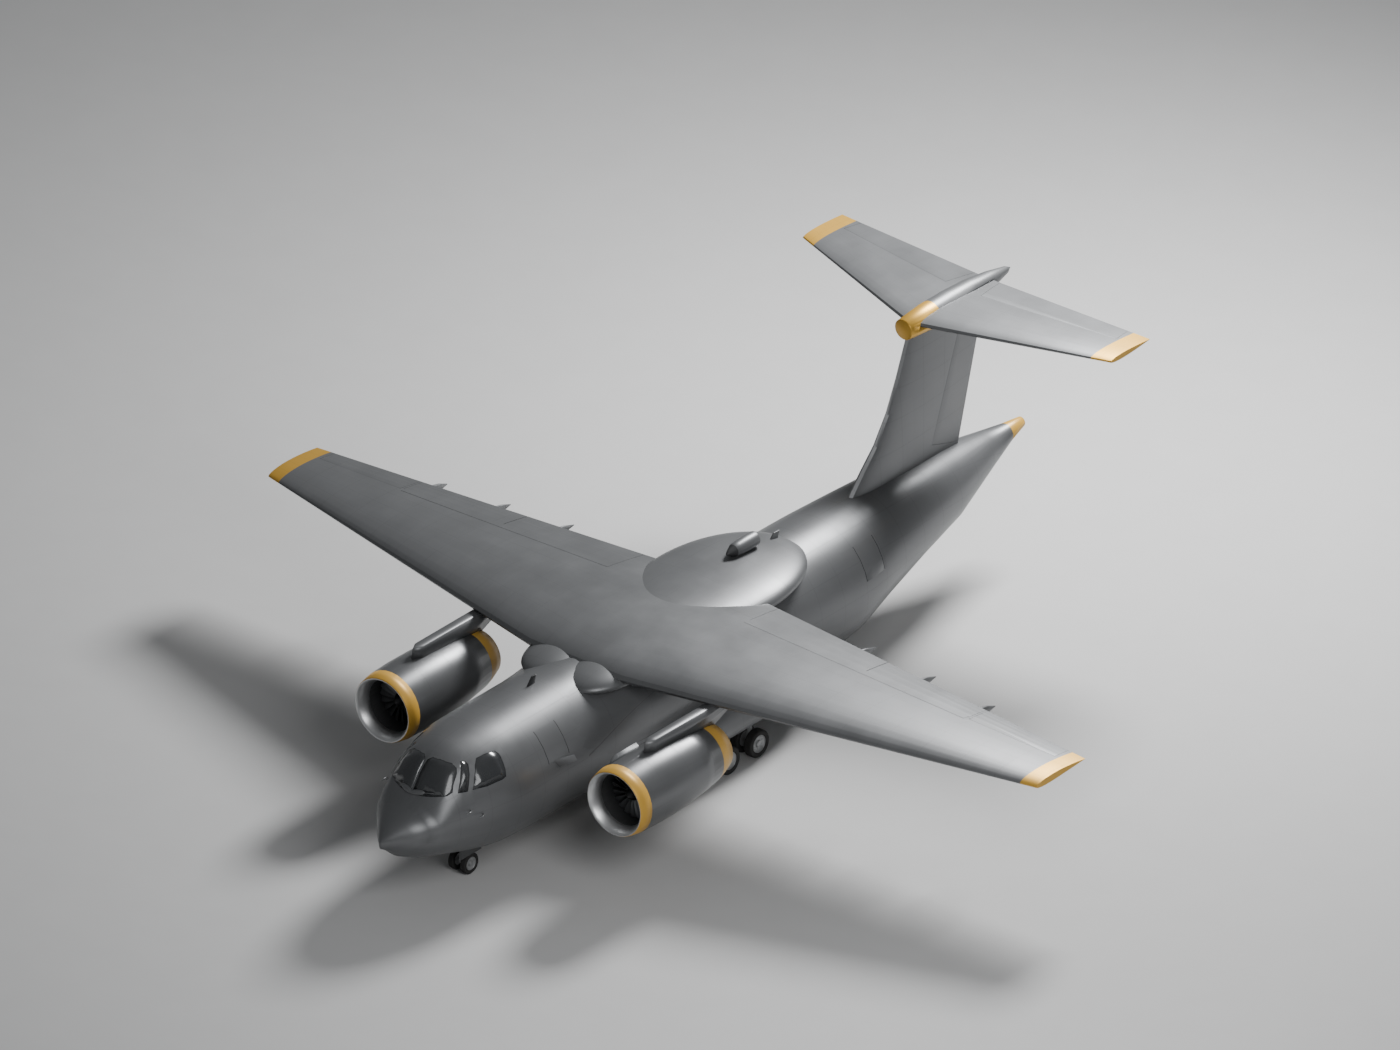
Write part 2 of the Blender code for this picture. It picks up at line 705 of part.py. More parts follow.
def make_upper_door(tail):
    """The door above the ramp, which swings up inside the tail."""
    start, end = UPPER_DOOR
    wide, narrow = UPPER_DOOR_HALF_WIDTHS
    front, top = 24.4, tip(0.5)

    def space(name, first, grow, back, corner=0.0):
        right = [(wide + grow - corner, first), (wide + grow, start - grow), (narrow + grow, end + back)]
        return prism(name, right + [(-x, s) for x, s in right[::-1]], "Z", 0, top)

    door = fuselage_section("upper_cargo_door", front, TAIL_END)
    combine("INTERSECT", door, space("inner", front + 0.02, 0.0, 0.0, UPPER_DOOR_CORNER))
    low_end, high_end = (rear_face(z, RAMP_REAR_GAP) for z in (0, top))
    ahead = [(front - 1, 0), (low_end, 0), (high_end, top), (front - 1, top)]
    combine("DIFFERENCE", door, prism("ahead", ahead, "X", -3, 3))
    combine("DIFFERENCE", tail, space("opening", start - 2 * MOVING_GAP, MOVING_GAP, GAP))
    # The opening runs out through the front edge of this section.
    combine("DIFFERENCE", tail, box("mouth", (-wide - 0.01, AFT_END - 1, 0), (wide + 0.01, start, tip(-0.4))))
    return door


def make_ends():
    radome = loft("radome", fuselage_rings(0.0, RADOME_END - GAP / 2))
    cap = loft("tail_cap", fuselage_rings(TAIL_END + GAP / 2, LENGTH))
    pick_out("grey", radome)
    pick_out("yellow", cap)


# The wing and what is faired into it


CANOE_SHAPE = (  # share of the length, half width, top and foot from the chord
    (0.0, 0.03, -0.10, -0.14),
    (0.18, 0.13, -0.02, -0.44),
    (0.39, 0.17, 0.0, -0.62),
    (0.62, 0.16, -0.02, -0.60),
    (0.85, 0.09, -0.20, -0.52),
    (1.0, 0.015, -0.40, -0.44),
)


def canoe(across, end):
    """A flap track fairing under the wing, pointed at both ends."""
    start = wing_spar(across, 0.50)[0].y
    level = wing_spar(across, 0.5)[0].z
    rings = []
    for share, wide, top, low in CANOE_SHAPE:
        middle, tall = (top + low) / 2, (top - low) / 2
        station = between((start, end), share)
        angles = [2 * math.pi * i / 12 for i in range(12)]
        up = level + middle
        rings.append([(across + wide * math.cos(a), station, up + tall * math.sin(a)) for a in angles])
    return loft("canoe", rings)


def flap_hinge(across):
    """A point of the flap hinge, below the front of the flaps."""
    point = wing_spar(across, FLAP_LINE)[0]
    return point - Vector((0, 0, FLAP_DROP))


def make_wing():
    wing = half_wing(0.0)
    for across, end in FAIRING_TIPS:
        combine("UNION", wing, canoe(across, end))
    flaps = []
    root, middle, tip_end = FLAP_ENDS
    first, last = flap_hinge(root), flap_hinge(tip_end)
    along = (last - first).normalized()
    spans = {"inner_flap": (root, middle - MOVING_GAP), "outer_flap": (middle + MOVING_GAP, tip_end)}
    for name, ends in spans.items():
        points = [first + along * ((x - first.x) / along.x) for x in ends]
        flaps.append((name, combine("INTERSECT", copy_of(wing, name), hinge_block("space", *points, 0.0))))
    combine("DIFFERENCE", wing, hinge_block("cove", first, last, MOVING_GAP))
    for across, _ in FAIRING_TIPS:
        middle = first + along * ((across - first.x) / along.x)
        combine("UNION", wing, rod("knuckle", middle - along * 0.10, middle + along * 0.10, KNUCKLE_RADIUS))
        flap = flaps[0][1] if across < FLAP_ENDS[1] else flaps[1][1]
        space = socket("knuckle_space", middle - along * 0.3, middle + along * 0.3, KNUCKLE_RADIUS)
        combine("DIFFERENCE", flap, space)
    spars = [wing_spar(x, AILERON_LINE) for x in AILERON_ENDS]
    aileron = hinged_surface(wing, "aileron", [s[0] for s in spars], [s[1] for s in spars])
    join_at_middle(wing)
    pick_out("grey", wing, *both_sides(aileron, "aileron"))
    for name, flap in flaps:
        pick_out("grey", *both_sides(flap, name))


def make_wing_fairing():
    """The lobes ahead of the wing's root, the dome behind it and the bulges below, in one body."""
    lobe = blob("lobe", (0.95, 11.3, tip(2.47)), 1.25, (1.85, 1.5), (0.48, 0.25), 2.0, 28, 12)
    bulge = blob("bulge", (0.75, 14.2, tip(1.1)), 1.95, (7.4, 6.4), (1.6, 1.6), 2.0, 28, 14)
    fairing = blob("wing_fairing", (0, 18.4, tip(2.60)), 2.62, (6.49, 4.02), (0.66, 0.62), 2.0, 36, 16)
    combine("UNION", fairing, mirrored(bulge, "other_bulge"), bulge, mirrored(lobe, "other_lobe"), lobe)
    combine("DIFFERENCE", fairing, wing_solid(GAP), fuselage_solid(GAP, 5, 27), solver="MANIFOLD")
    keep_largest(fairing)
    profile = [(0, 0), (0.10, 0.07), (0.38, 0.22), (1.0, 0.29), (1.50, 0.29), (1.60, 0.23), (1.60, 0)]
    pod = turned("pod", profile, (0, 19.05, tip(3.45)), "Y", 12)
    side = [(21.35, tip(2.92)), (21.85, tip(2.92)), (21.95, tip(3.22)), (21.65, tip(3.22))]
    blade = prism("blade", side, "X", -0.025, 0.025)
    combine("UNION", fairing, pod, blade)
    pick_out("grey", fairing)


def keep_largest(obj):
    """Leaves only the largest of an object's separate bodies."""
    bm = bmesh.new()
    bm.from_mesh(obj.data)
    left, groups = set(bm.verts), []
    while left:
        group, edge = set(), [left.pop()]
        while edge:
            vert = edge.pop()
            group.add(vert)
            near = {e.other_vert(vert) for e in vert.link_edges} & left
            left -= near
            edge += near
        groups.append(group)
    groups.sort(key=len)
    for group in groups[:-1]:
        bmesh.ops.delete(bm, geom=list(group), context="VERTS")
    bm.to_mesh(obj.data)
    bm.free()


# The engines


COWL_SIDE = [(BAND_END, 1.325), (8.0, 1.36), (9.0, 1.345), (10.2, 1.26)]


def nacelle_solid(grow):
    outside = COWL_SIDE + [(COWL_END, 1.136), (11.55, 1.041), (NOZZLE_END + grow, 0.899)]
    profile = [(BAND_END, 0)] + [(s, r + grow) for s, r in outside] + [(NOZZLE_END + grow, 0)]
    return turned("nacelle_solid", profile, (ENGINE_ACROSS, 0, tip(ENGINE_LEVEL)))


def make_engines():
    centre = (ENGINE_ACROSS, 0, tip(ENGINE_LEVEL))
    band = BAND_END - GAP / 2
    lip = [
        (band, 1.325), (6.72, 1.282), (6.54, 1.245), (INLET, 1.22),
        (6.52, 1.18), (6.62, 1.11), (6.85, 1.03), (band, DUCT_RADIUS),
    ]
    cowl = [(BAND_END, DUCT_RADIUS)] + COWL_SIDE + [(COWL_END, 1.135), (COWL_END, DUCT_RADIUS)]
    start = COWL_END + GAP
    nozzle = [
        (start, 1.132), (11.55, 1.04), (NOZZLE_END, 0.897),
        (NOZZLE_END, 0.875), (11.55, 0.96), (start, DUCT_RADIUS),
    ]
    inside = DUCT_RADIUS - GAP
    core = [
        (FAN_REAR, 0), (FAN_REAR, 0.24), (8.0, 0.30), (8.0, inside),
        (10.9, inside), (11.0, 0.62), (12.1, 0.12), (12.16, 0),
    ]
    port, starboard = both_sides(turned("engine_cowl", cowl, centre), "engine_cowl")
    pick_out("grey", combine("UNION", port, make_strake(centre)), starboard)
    pieces = [("grey", turned("inlet_lip", lip, centre))]
    pieces.append(("yellow", turned("exhaust_nozzle", nozzle, centre)))
    pieces += [("steel", turned("engine_core", core, centre)), ("steel", make_fan(centre))]
    for paint, piece in pieces:
        pick_out(paint, *both_sides(piece, piece.name))
    pylon = make_pylon()
    pick_out("grey", *both_sides(pylon, "pylon"))


def make_strake(centre):
    """The thin fin on the inboard side of the port cowl, which sweeps back at its front."""
    outline = [(7.32, 1.20), (8.92, 1.20), (8.86, STRAKE_TOP), (7.72, STRAKE_TOP), (7.36, 1.36)]
    side = [(s, centre[2] + r) for s, r in outline]
    strake = prism("strake", side, "X", centre[0] - 0.018, centre[0] + 0.018)
    axis = world(centre)
    turn = Matrix.Rotation(-STRAKE_LEAN, 4, "Y")
    strake.data.transform(Matrix.Translation(axis) @ turn @ Matrix.Translation(-axis))
    return strake


def make_fan(centre):
    """The spinner with its blades."""
    rear = FAN_REAR - GAP
    spinner = [
        (7.22, 0), (7.26, 0.08), (7.36, 0.19), (7.50, 0.28), (7.84, 0.30),
        (7.85, 0.22), (7.85, 0.10), (rear, 0.10), (rear, 0),
    ]
    fan = turned("fan", spinner, centre, "Y", 24)
    bm = bmesh.new()
    for i in range(FAN_BLADES):
        turn = 2 * math.pi * i / FAN_BLADES
        rows = []
        for radius, twist, long, thick in ((0.20, 20, 0.24, 0.030), (0.965, 56, 0.34, 0.014)):
            lean = math.radians(twist)
            row = []
            for a, t in ((-long / 2, 0), (0, thick / 2), (long / 2, 0), (0, -thick / 2)):
                along = a * math.cos(lean) - t * math.sin(lean)
                around = a * math.sin(lean) + t * math.cos(lean)
                row.append(bm.verts.new(world((
                    centre[0] + radius * math.cos(turn) - around * math.sin(turn),
                    7.66 + along,
                    centre[2] + radius * math.sin(turn) + around * math.cos(turn),
                ))))
            rows.append(row)
        skin(bm, rows)
        bm.faces.new(rows[0])
        bm.faces.new(rows[-1])
    return combine("UNION", fan, finish(bm, "blades"))


PYLON_LEVELS = (  # height above the nose tip, front, rear, half width
    (1.55, 8.05, 12.0, 0.20),
    (1.95, 8.15, 13.0, 0.21),
    (2.33, 8.18, 14.2, 0.215),
    (2.43, 8.20, 14.8, 0.20),
    (2.47, 8.26, 14.9, 0.155),
)


def make_pylon():
    """The slab between the engine and the wing, with a round top ridge and a sharp front."""
    rings = []
    for height, front, rear, half in PYLON_LEVELS:
        nose, tail = front + 0.36, rear - 1.6
        side = [(0.012, front), (half, nose), (half, tail), (0.02, rear)]
        plan = side + [(-x, s) for x, s in side[::-1]]
        rings.append([(ENGINE_ACROSS + x, s, tip(height)) for x, s in plan])
    pylon = loft("pylon", rings)
    combine("DIFFERENCE", pylon, wing_solid(GAP))
    combine("DIFFERENCE", pylon, nacelle_solid(GAP))
    keep_largest(pylon)
    return pylon


# The tail


def make_tail():
    heights = (2.0, 2.77, 3.56, 4.30, 5.30, 6.48, 7.74, 8.1)
    fin = loft("fin", [fin_ring(h) for h in heights])
    spars = [fin_spar(h, RUDDER_LINE) for h in RUDDER_ENDS]
    rudder = hinged_surface(fin, "rudder", [s[0] for s in spars], [s[1] for s in spars], Vector((-1, 0, 0)))
    combine("DIFFERENCE", fin, fuselage_solid(GAP, 22, 34.9))

    profile = [
        (28.77, 0), (28.77, 0.36), (28.80, 0.40), (30.0, 0.49), (31.2, 0.50),
        (32.4, 0.45), (33.5, 0.32), (34.4, 0.14), (34.67, 0),
    ]
    bullet = turned("bullet_fairing", profile, (0, 0, tip(BULLET_LEVEL)), "Y", 20)
    grown = [(s + (GAP if s > 30 else -GAP), r + GAP if r else 0) for s, r in profile]
    combine("DIFFERENCE", fin, turned("bullet_space", grown, (0, 0, tip(BULLET_LEVEL)), "Y", 20))
    keep_largest(fin)
    stabiliser = half_stabiliser(0.0)
    spars = [stabiliser_spar(x, ELEVATOR_LINE) for x in ELEVATOR_ENDS]
    elevator = hinged_surface(stabiliser, "elevator", [s[0] for s in spars], [s[1] for s in spars])
    join_at_middle(stabiliser)
    slot = half_stabiliser(GAP)
    join_at_middle(slot)
    combine("DIFFERENCE", bullet, slot)
    pick_out("grey", fin, rudder, bullet, stabiliser, *both_sides(elevator, "elevator"))


# The landing gear


def wheel_pair(name, centre, radius, wide, spread):
    """Twin wheels on their axle: two tyres with their hubs, spread to each side of the leg."""
    half = wide / 2
    outer = ((0.5, 0), (0.5, 0.48), (0.95, 0.55), (1.0, 0.8), (0.62, 1.0))
    shape = outer + ((-0.62, 1.0), (-1.0, 0.8), (-0.85, 0.48))
    side = [(spread + half * out, radius * up) for out, up in shape] + [(spread - half * 0.7, AXLE_RADIUS)]
    profile = side + [(-distance, r) for distance, r in side[::-1]]
    return turned(name, profile, centre, "X", 18)


def post(name, across, station, low, high, radius):
    return turned(name, [(low, 0), (low, radius), (high, radius), (high, 0)], (across, station, 0), "Z", 12)


def leg(name, across, station, axle, top, radius, half):
    """A shock strut that ends in a ring round the axle."""
    strut = post(name, across, station, axle + AXLE_RADIUS + 0.008, top, radius)
    hole = (AXLE_RADIUS + GAP) / math.cos(math.pi / 14)
    ring = [(-half, radius + 0.03), (half, radius + 0.03), (half, hole), (-half, hole)]
    return combine("UNION", strut, turned("ring", ring, (across, station, axle), "X", 14))


def make_nose_gear():
    station, radius = NOSE_AXLE
    bay = box("nose_gear_bay", (-0.50, 3.75, 0.8), (0.50, 5.15, tip(-0.98)))
    combine("DIFFERENCE", bay, box("inside", (-0.45, 3.79, 0.5), (0.45, 5.11, tip(-1.04))))
    combine("INTERSECT", bay, inner_space(3, COCKPIT_END))
    combine("UNION", bay, post("trunnion", 0, station, 0.98, tip(-1.0), 0.12))
    strut = leg("nose_leg", 0, station, radius, 0.98 - GAP, 0.075, 0.115)
    combine("UNION", strut, box("steering_arm", (-0.16, station - 0.06, 0.88), (0.16, station + 0.06, 0.95)))
    wheels = wheel_pair("nose_wheels", (0, station, radius), radius, 0.24, 0.27)
    for side in (1, -1):
        ends = sorted((side * 0.43, side * (0.46 - GAP)))
        combine("UNION", bay, box("door", (ends[0], 3.86, 0.85), (ends[1], 5.04, tip(-1.2))))
    pick_out("bare_metal", strut)
    pick_out("tyre", wheels)
    pick_out("grey", bay)


def make_main_gear():
    sponson = blob("sponson", (1.85, 16.5, tip(-0.95)), 1.22, (5.4, 5.2), (1.1, 1.08), 2.5, 28, 12)
    combine("DIFFERENCE", sponson, fuselage_solid(GAP, 8, 26))
    combine("DIFFERENCE", sponson, box("far_side", (-5, 0, 0), (0.75, 35, 12)))
    ramp_side = RAMP_HALF_WIDTH + 0.03
    combine("DIFFERENCE", sponson, box("ramp_way", (0, RAMP[0] - 0.03, 0), (ramp_side, 24, 12)))
    roof = tip(-1.50)
    first, last = MAIN_AXLES
    combine("DIFFERENCE", sponson, box("bay", (1.72, first - 0.72, 0.2), (2.96, last + 0.72, roof)))
    keep_largest(sponson)
    legs = leg("main_leg", MAIN_ACROSS, first, MAIN_RADIUS, roof - GAP, 0.095, 0.115)
    combine("UNION", legs, leg("rear_leg", MAIN_ACROSS, last, MAIN_RADIUS, roof - GAP, 0.095, 0.115))
    beam = box("beam", (MAIN_ACROSS - 0.09, first, roof - 0.17), (MAIN_ACROSS + 0.09, last, roof - 0.03))
    combine("UNION", legs, beam)
    pick_out("grey", *both_sides(sponson, "sponson"))
    pick_out("bare_metal", *both_sides(legs, "main_leg"))
    for place, station in (("front", first), ("rear", last)):
        wheels = wheel_pair("wheels", (MAIN_ACROSS, station, MAIN_RADIUS), MAIN_RADIUS, 0.36, 0.31)
        pick_out("tyre", *both_sides(wheels, f"{place}_main_wheels"))


for old in list(bpy.data.objects):
    bpy.data.objects.remove(old, do_unlink=True)
PARTS = bpy.data.collections.new("military_transport_plane")
bpy.context.scene.collection.children.link(PARTS)

make_ends()
make_cockpit()
make_instrument_panel()
make_hold()
make_wing()
make_wing_fairing()
make_engines()
make_tail()
make_nose_gear()
make_main_gear()
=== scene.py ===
import json
import math

import bpy
from mathutils import Matrix, Vector
from mathutils.bvhtree import BVHTree

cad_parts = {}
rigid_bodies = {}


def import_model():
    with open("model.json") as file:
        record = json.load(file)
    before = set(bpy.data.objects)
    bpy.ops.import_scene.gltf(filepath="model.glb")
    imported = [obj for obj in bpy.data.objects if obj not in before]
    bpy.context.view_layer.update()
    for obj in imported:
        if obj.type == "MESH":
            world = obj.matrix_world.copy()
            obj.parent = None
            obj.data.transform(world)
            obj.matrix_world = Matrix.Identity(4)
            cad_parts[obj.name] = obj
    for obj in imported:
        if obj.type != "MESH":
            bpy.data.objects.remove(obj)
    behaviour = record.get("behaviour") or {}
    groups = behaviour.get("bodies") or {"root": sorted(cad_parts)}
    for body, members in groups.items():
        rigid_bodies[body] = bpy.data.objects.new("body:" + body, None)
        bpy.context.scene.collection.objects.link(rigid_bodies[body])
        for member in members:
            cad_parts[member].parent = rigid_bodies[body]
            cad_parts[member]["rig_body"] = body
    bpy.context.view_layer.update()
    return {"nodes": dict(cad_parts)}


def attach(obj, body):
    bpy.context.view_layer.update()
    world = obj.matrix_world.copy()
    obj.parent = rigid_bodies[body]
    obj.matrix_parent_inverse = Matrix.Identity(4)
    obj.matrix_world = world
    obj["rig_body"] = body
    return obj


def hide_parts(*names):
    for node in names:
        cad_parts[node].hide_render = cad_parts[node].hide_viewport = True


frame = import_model()

# A twin-jet, high-wing military transport plane, parked on its landing gear: finishes, fittings and light.
# Lengths are in metres. +X is port, the nose points to -Y, +Z is up and the ground is at Z = 0.

# Places on the plane
NOSE_TIP = -17.625
HULL_AXIS = 3.44  # height of the middle of the fuselage tube
HULL_JOINTS = (-16.325, -12.225, 7.675, 16.775)  # where the curved sections of the fuselage meet
ENGINE_ACROSS = 5.294
ENGINE_AXIS = 3.71
WING_TIP_BAND = 16.91
TAILPLANE_TIP_BAND = 6.32
BULLET_BAND_END = 12.675
DUCT_RADIUS = 1.00

# Wheels: axle station and height, tyre radius, tyre width, and the middle of each tyre across
NOSE_WHEELS = (-13.025, 0.40, 0.40, 0.24, (-0.27, 0.27))
MAIN_WHEELS = {
    "front_main_wheels": (-1.725, 0.53, 0.53, 0.36, (2.04, 2.66)),
    "rear_main_wheels": (-0.125, 0.53, 0.53, 0.36, (2.04, 2.66)),
}

# Fairings round the wing's root: middle, reach across, fore and aft, up and down
DOME = ((0, 0.775, 5.62), 2.62, (6.49, 4.02), (0.66, 0.62))
LOBE = ((0.95, -6.325, 5.49), 1.25, (1.85, 1.5), (0.48, 0.25))
HULL_RADIUS = 2.43
BLISTER_MIDDLE = (0.75, -3.425, 4.12)
BLISTER_REACH = (1.95, 1.60)
BLISTER_ENDS = (6.4, 6.6)

# Colours, as linear red, green and blue
GREY_PAINT = (0.150, 0.154, 0.159, 1)
GREY_DARK = (0.050, 0.051, 0.053, 1)
YELLOW_PAINT = (0.600, 0.345, 0.055, 1)
HOLD_LINING = (0.230, 0.235, 0.225, 1)
GEAR_WHITE = (0.480, 0.490, 0.500, 1)


# Finishes


class Signal:
    """A number or colour that varies over a surface. Arithmetic on it adds Math nodes."""

    def __init__(self, finish, socket):
        self.finish = finish
        self.socket = socket

    def math(self, operation, *others, clamp=False):
        inputs = {i: value for i, value in enumerate((self, *others))}
        settings = {"operation": operation, "use_clamp": clamp}
        return self.finish.node("ShaderNodeMath", settings, inputs)

    def flipped(self, operation, other):
        return self.finish.node("ShaderNodeMath", {"operation": operation}, {0: other, 1: self})

    def __add__(self, other):
        return self.math("ADD", other)

    def __sub__(self, other):
        return self.math("SUBTRACT", other)

    def __mul__(self, other):
        return self.math("MULTIPLY", other)

    def __truediv__(self, other):
        return self.math("DIVIDE", other)

    def __rsub__(self, other):
        return self.flipped("SUBTRACT", other)

    def __rtruediv__(self, other):
        return self.flipped("DIVIDE", other)

    __radd__ = __add__
    __rmul__ = __mul__

    def above(self, edge):
        return self.math("GREATER_THAN", edge)

    def below(self, edge):
        return self.math("LESS_THAN", edge)

    def size(self):
        return self.math("ABSOLUTE")

    def clamped(self):
        return self.math("ADD", 0.0, clamp=True)

    def seams(self, pitch, half_width):
        """1 on each line that comes every pitch, and 0 from half_width away."""
        return (1 - self.math("PINGPONG", pitch / 2) / half_width).clamped()


class Finish:
    """A material on the Principled shader."""

    def __init__(self, name, **constants):
        self.material = bpy.data.materials.new(name)
        self.material.use_nodes = True
        self.tree = self.material.node_tree
        self.shader = self.tree.nodes["Principled BSDF"]
        for socket, value in constants.items():
            self.shader.inputs[socket.replace("_", " ").title().replace("Ior", "IOR")].default_value = value
        self.x, self.y, self.z = self.split(self.node("ShaderNodeTexCoord", output="Object"))

    def node(self, kind, settings=None, inputs=None, output=0):
        """Adds one node: settings first, a ramp's stops among them, then values or links."""
        made = self.tree.nodes.new(kind)
        for name, value in (settings or {}).items():
            if name == "stops":
                for stop, (place, colour) in zip(self.ramp_stops(made, len(value)), value):
                    stop.position = place
                    stop.color = colour
            else:
                setattr(made, name, value)
        for name, value in (inputs or {}).items():
            self.feed(made.inputs[name], value)
        return Signal(self, made.outputs[output])

    def ramp_stops(self, ramp, count):
        stops = ramp.color_ramp.elements
        while len(stops) < count:
            stops.new(0.5)
        return stops

    def feed(self, socket, value):
        if isinstance(value, Signal):
            self.tree.links.new(value.socket, socket)
        else:
            socket.default_value = value

    def split(self, vector):
        parts = self.tree.nodes.new("ShaderNodeSeparateXYZ")
        self.feed(parts.inputs[0], vector)
        return [Signal(self, parts.outputs[i]) for i in range(3)]

    def joined(self, x, y, z):
        return self.node("ShaderNodeCombineXYZ", None, {0: x, 1: y, 2: z})

    def noise(self, scale, detail=3, stretch=(1, 1, 1), place=None):
        """Cloudy noise from 0 to 1, larger where stretch is small."""
        if place is None:
            place = self.joined(self.x * stretch[0], self.y * stretch[1], self.z * stretch[2])
        return self.node("ShaderNodeTexNoise", None, {"Vector": place, "Scale": scale, "Detail": detail})

    def mix(self, share, first, second):
        return self.node("ShaderNodeMix", {"data_type": "RGBA"}, {0: share, 6: first, 7: second}, 2)

    def shade(self, colour, amount):
        """A colour made lighter or darker: an amount of 1 leaves it as it is."""
        amounts = self.joined(amount, amount, amount)
        if not isinstance(colour, Signal):
            colour = colour[:3]
        return self.node("ShaderNodeVectorMath", {"operation": "MULTIPLY"}, {0: colour, 1: amounts})

    def facing(self, across, height):
        """How far the surface faces away from a lengthwise axis: 1 outwards, -1 inwards."""
        normal = self.split(self.node("ShaderNodeTexCoord", output="Normal"))
        radius = (across * across + height * height).math("SQRT")
        return (normal[0] * across + normal[2] * height) / (radius + 0.001)

    def finish(self, colour=None, roughness=None, metallic=None, height=None, depth=0.01):
        if colour is not None:
            self.feed(self.shader.inputs["Base Color"], colour)
        if roughness is not None:
            self.feed(self.shader.inputs["Roughness"], roughness)
        if metallic is not None:
            self.feed(self.shader.inputs["Metallic"], metallic)
        if height is not None:
            bump = self.node("ShaderNodeBump", None, {"Strength": 0.7, "Distance": depth, "Height": height})
            self.feed(self.shader.inputs["Normal"], bump)
        return self.material


def paint(name, first, second, base=GREY_PAINT, band=None, lining=None, roughness=0.40, metallic=0.50):
    """Satin paint over riveted panels. first and second give a surface coordinate and its panel pitch."""
    f = Finish(name, metallic=metallic)
    (u, u_pitch), (v, v_pitch) = first(f), second(f)
    seams = u.seams(u_pitch, 0.006).math("MAXIMUM", v.seams(v_pitch, 0.006))
    rows = ((u.math("PINGPONG", u_pitch / 2) - 0.035).size().below(0.012)) * v.seams(0.05, 0.012)
    rows = rows + ((v.math("PINGPONG", v_pitch / 2) - 0.035).size().below(0.012)) * u.seams(0.05, 0.012)
    panel = (u / u_pitch).math("ROUND") * 7.31 + (v / v_pitch).math("ROUND") * 3.17
    tint = f.node("ShaderNodeTexWhiteNoise", {"noise_dimensions": "1D"}, {"W": panel})
    cloud = f.noise(0.7, 5)
    streaks = f.noise(1.6, 4, (3.0, 0.35, 3.0))
    grain = f.noise(90, 2)
    tone = 0.93 + tint * 0.045 + cloud * 0.09 + (streaks - 0.5) * 0.07 - seams * 0.35 - rows * 0.08
    colour = base
    if band is not None:
        colour = f.mix(band(f), base, YELLOW_PAINT)
    colour = f.shade(colour, tone)
    rough = roughness + (cloud - 0.5) * 0.16 + (grain - 0.5) * 0.05 + seams * 0.15
    if lining is not None:
        inside = f.facing(f.x, f.z - HULL_AXIS).below(0.0)
        quilt = f.noise(25, 3)
        colour = f.mix(inside, colour, f.shade(lining, 0.8 + quilt * 0.35))
        rough = rough + inside * 0.25
    height = grain * 0.02 + rows * 0.06 - seams * 0.18
    return f.finish(colour, rough, height=height, depth=0.004)


def along(pitch):
    return lambda f: (f.y, pitch)


def upward(pitch):
    return lambda f: (f.z, pitch)


def outward(pitch):
    return lambda f: (f.x.size(), pitch)


def round_hull(pitch):
    """Distance round the fuselage tube from its crown."""
    return lambda f: (f.x.math("ARCTAN2", f.z - HULL_AXIS) * 2.43, pitch)


def round_engine(pitch):
    return lambda f: ((f.x.size() - ENGINE_ACROSS).math("ARCTAN2", f.z - ENGINE_AXIS) * 1.3, pitch)


def chord(front, rear, reach, pitch, scale):
    """Distance back along the chord of a tapered wing, as metres at a chord of scale."""
    def measure(f):
        share = f.x.size() / reach
        lead = share * (front[1] - front[0]) + front[0]
        width = share * ((rear[1] - rear[0]) - (front[1] - front[0])) + (rear[0] - front[0])
        return (f.y - lead) / width * scale, pitch
    return measure


WING_CHORD = chord((-7.51, -2.64), (0.75, 0.06), 17.52, 0.88, 4.4)
TAILPLANE_CHORD = chord((11.43, 14.08), (15.74, 16.26), 7.02, 0.80, 3.2)


def door_paint(name, low, high):
    """Hull paint with a dark shut line at the door's two ends."""
    f = Finish(name, metallic=0.5)
    shut = (f.y - low).below(0.030).math("MAXIMUM", (high - f.y).below(0.030))
    cloud = f.noise(0.9, 5)
    grain = f.noise(90, 2)
    inside = f.facing(f.x, f.z - HULL_AXIS).below(0.0)
    colour = f.mix(inside, f.shade(GREY_PAINT, 0.94 + cloud * 0.10), f.shade(HOLD_LINING, 0.8 + cloud * 0.3))
    colour = f.shade(colour, 1 - shut * 0.72)
    return f.finish(colour, 0.38 + (cloud - 0.5) * 0.14 + shut * 0.3, height=grain * 0.02 - shut * 0.6, depth=0.006)


def engine_skin(name, band):
    """Cowl paint outside, and a perforated liner in the duct."""
    f = Finish(name)
    across = f.x.size() - ENGINE_ACROSS
    height = f.z - ENGINE_AXIS
    out = f.facing(across_of(f), height)
    inside = out.below(-0.2)
    ring = across.math("ARCTAN2", height)
    seams = f.y.seams(1.4, 0.006).math("MAXIMUM", ring.seams(math.pi / 2, 0.005))
    cloud = f.noise(0.9, 4)
    streaks = f.noise(2.0, 4, (3.0, 0.3, 3.0))
    colour = f.shade(GREY_PAINT, 0.94 + cloud * 0.1 + (streaks - 0.5) * 0.1 - seams * 0.35)
    holes = ring.seams(math.pi / 150, 0.006) * f.y.seams(0.03, 0.008)
    liner = f.shade(GREY_DARK, 0.8 - holes * 0.4 + cloud * 0.2)
    colour = f.mix(inside, colour, liner)
    rough = 0.35 + (cloud - 0.5) * 0.14 + inside * 0.25
    return f.finish(colour, rough, 0.55 - inside * 0.3, f.noise(90, 2) * 0.02 - seams * 0.5 - holes * inside * 0.2, 0.006)


def across_of(f):
    """Distance across from the nearer engine's axis, with its sign kept to that side."""
    side = f.x.math("SIGN")
    return f.x - side * ENGINE_ACROSS


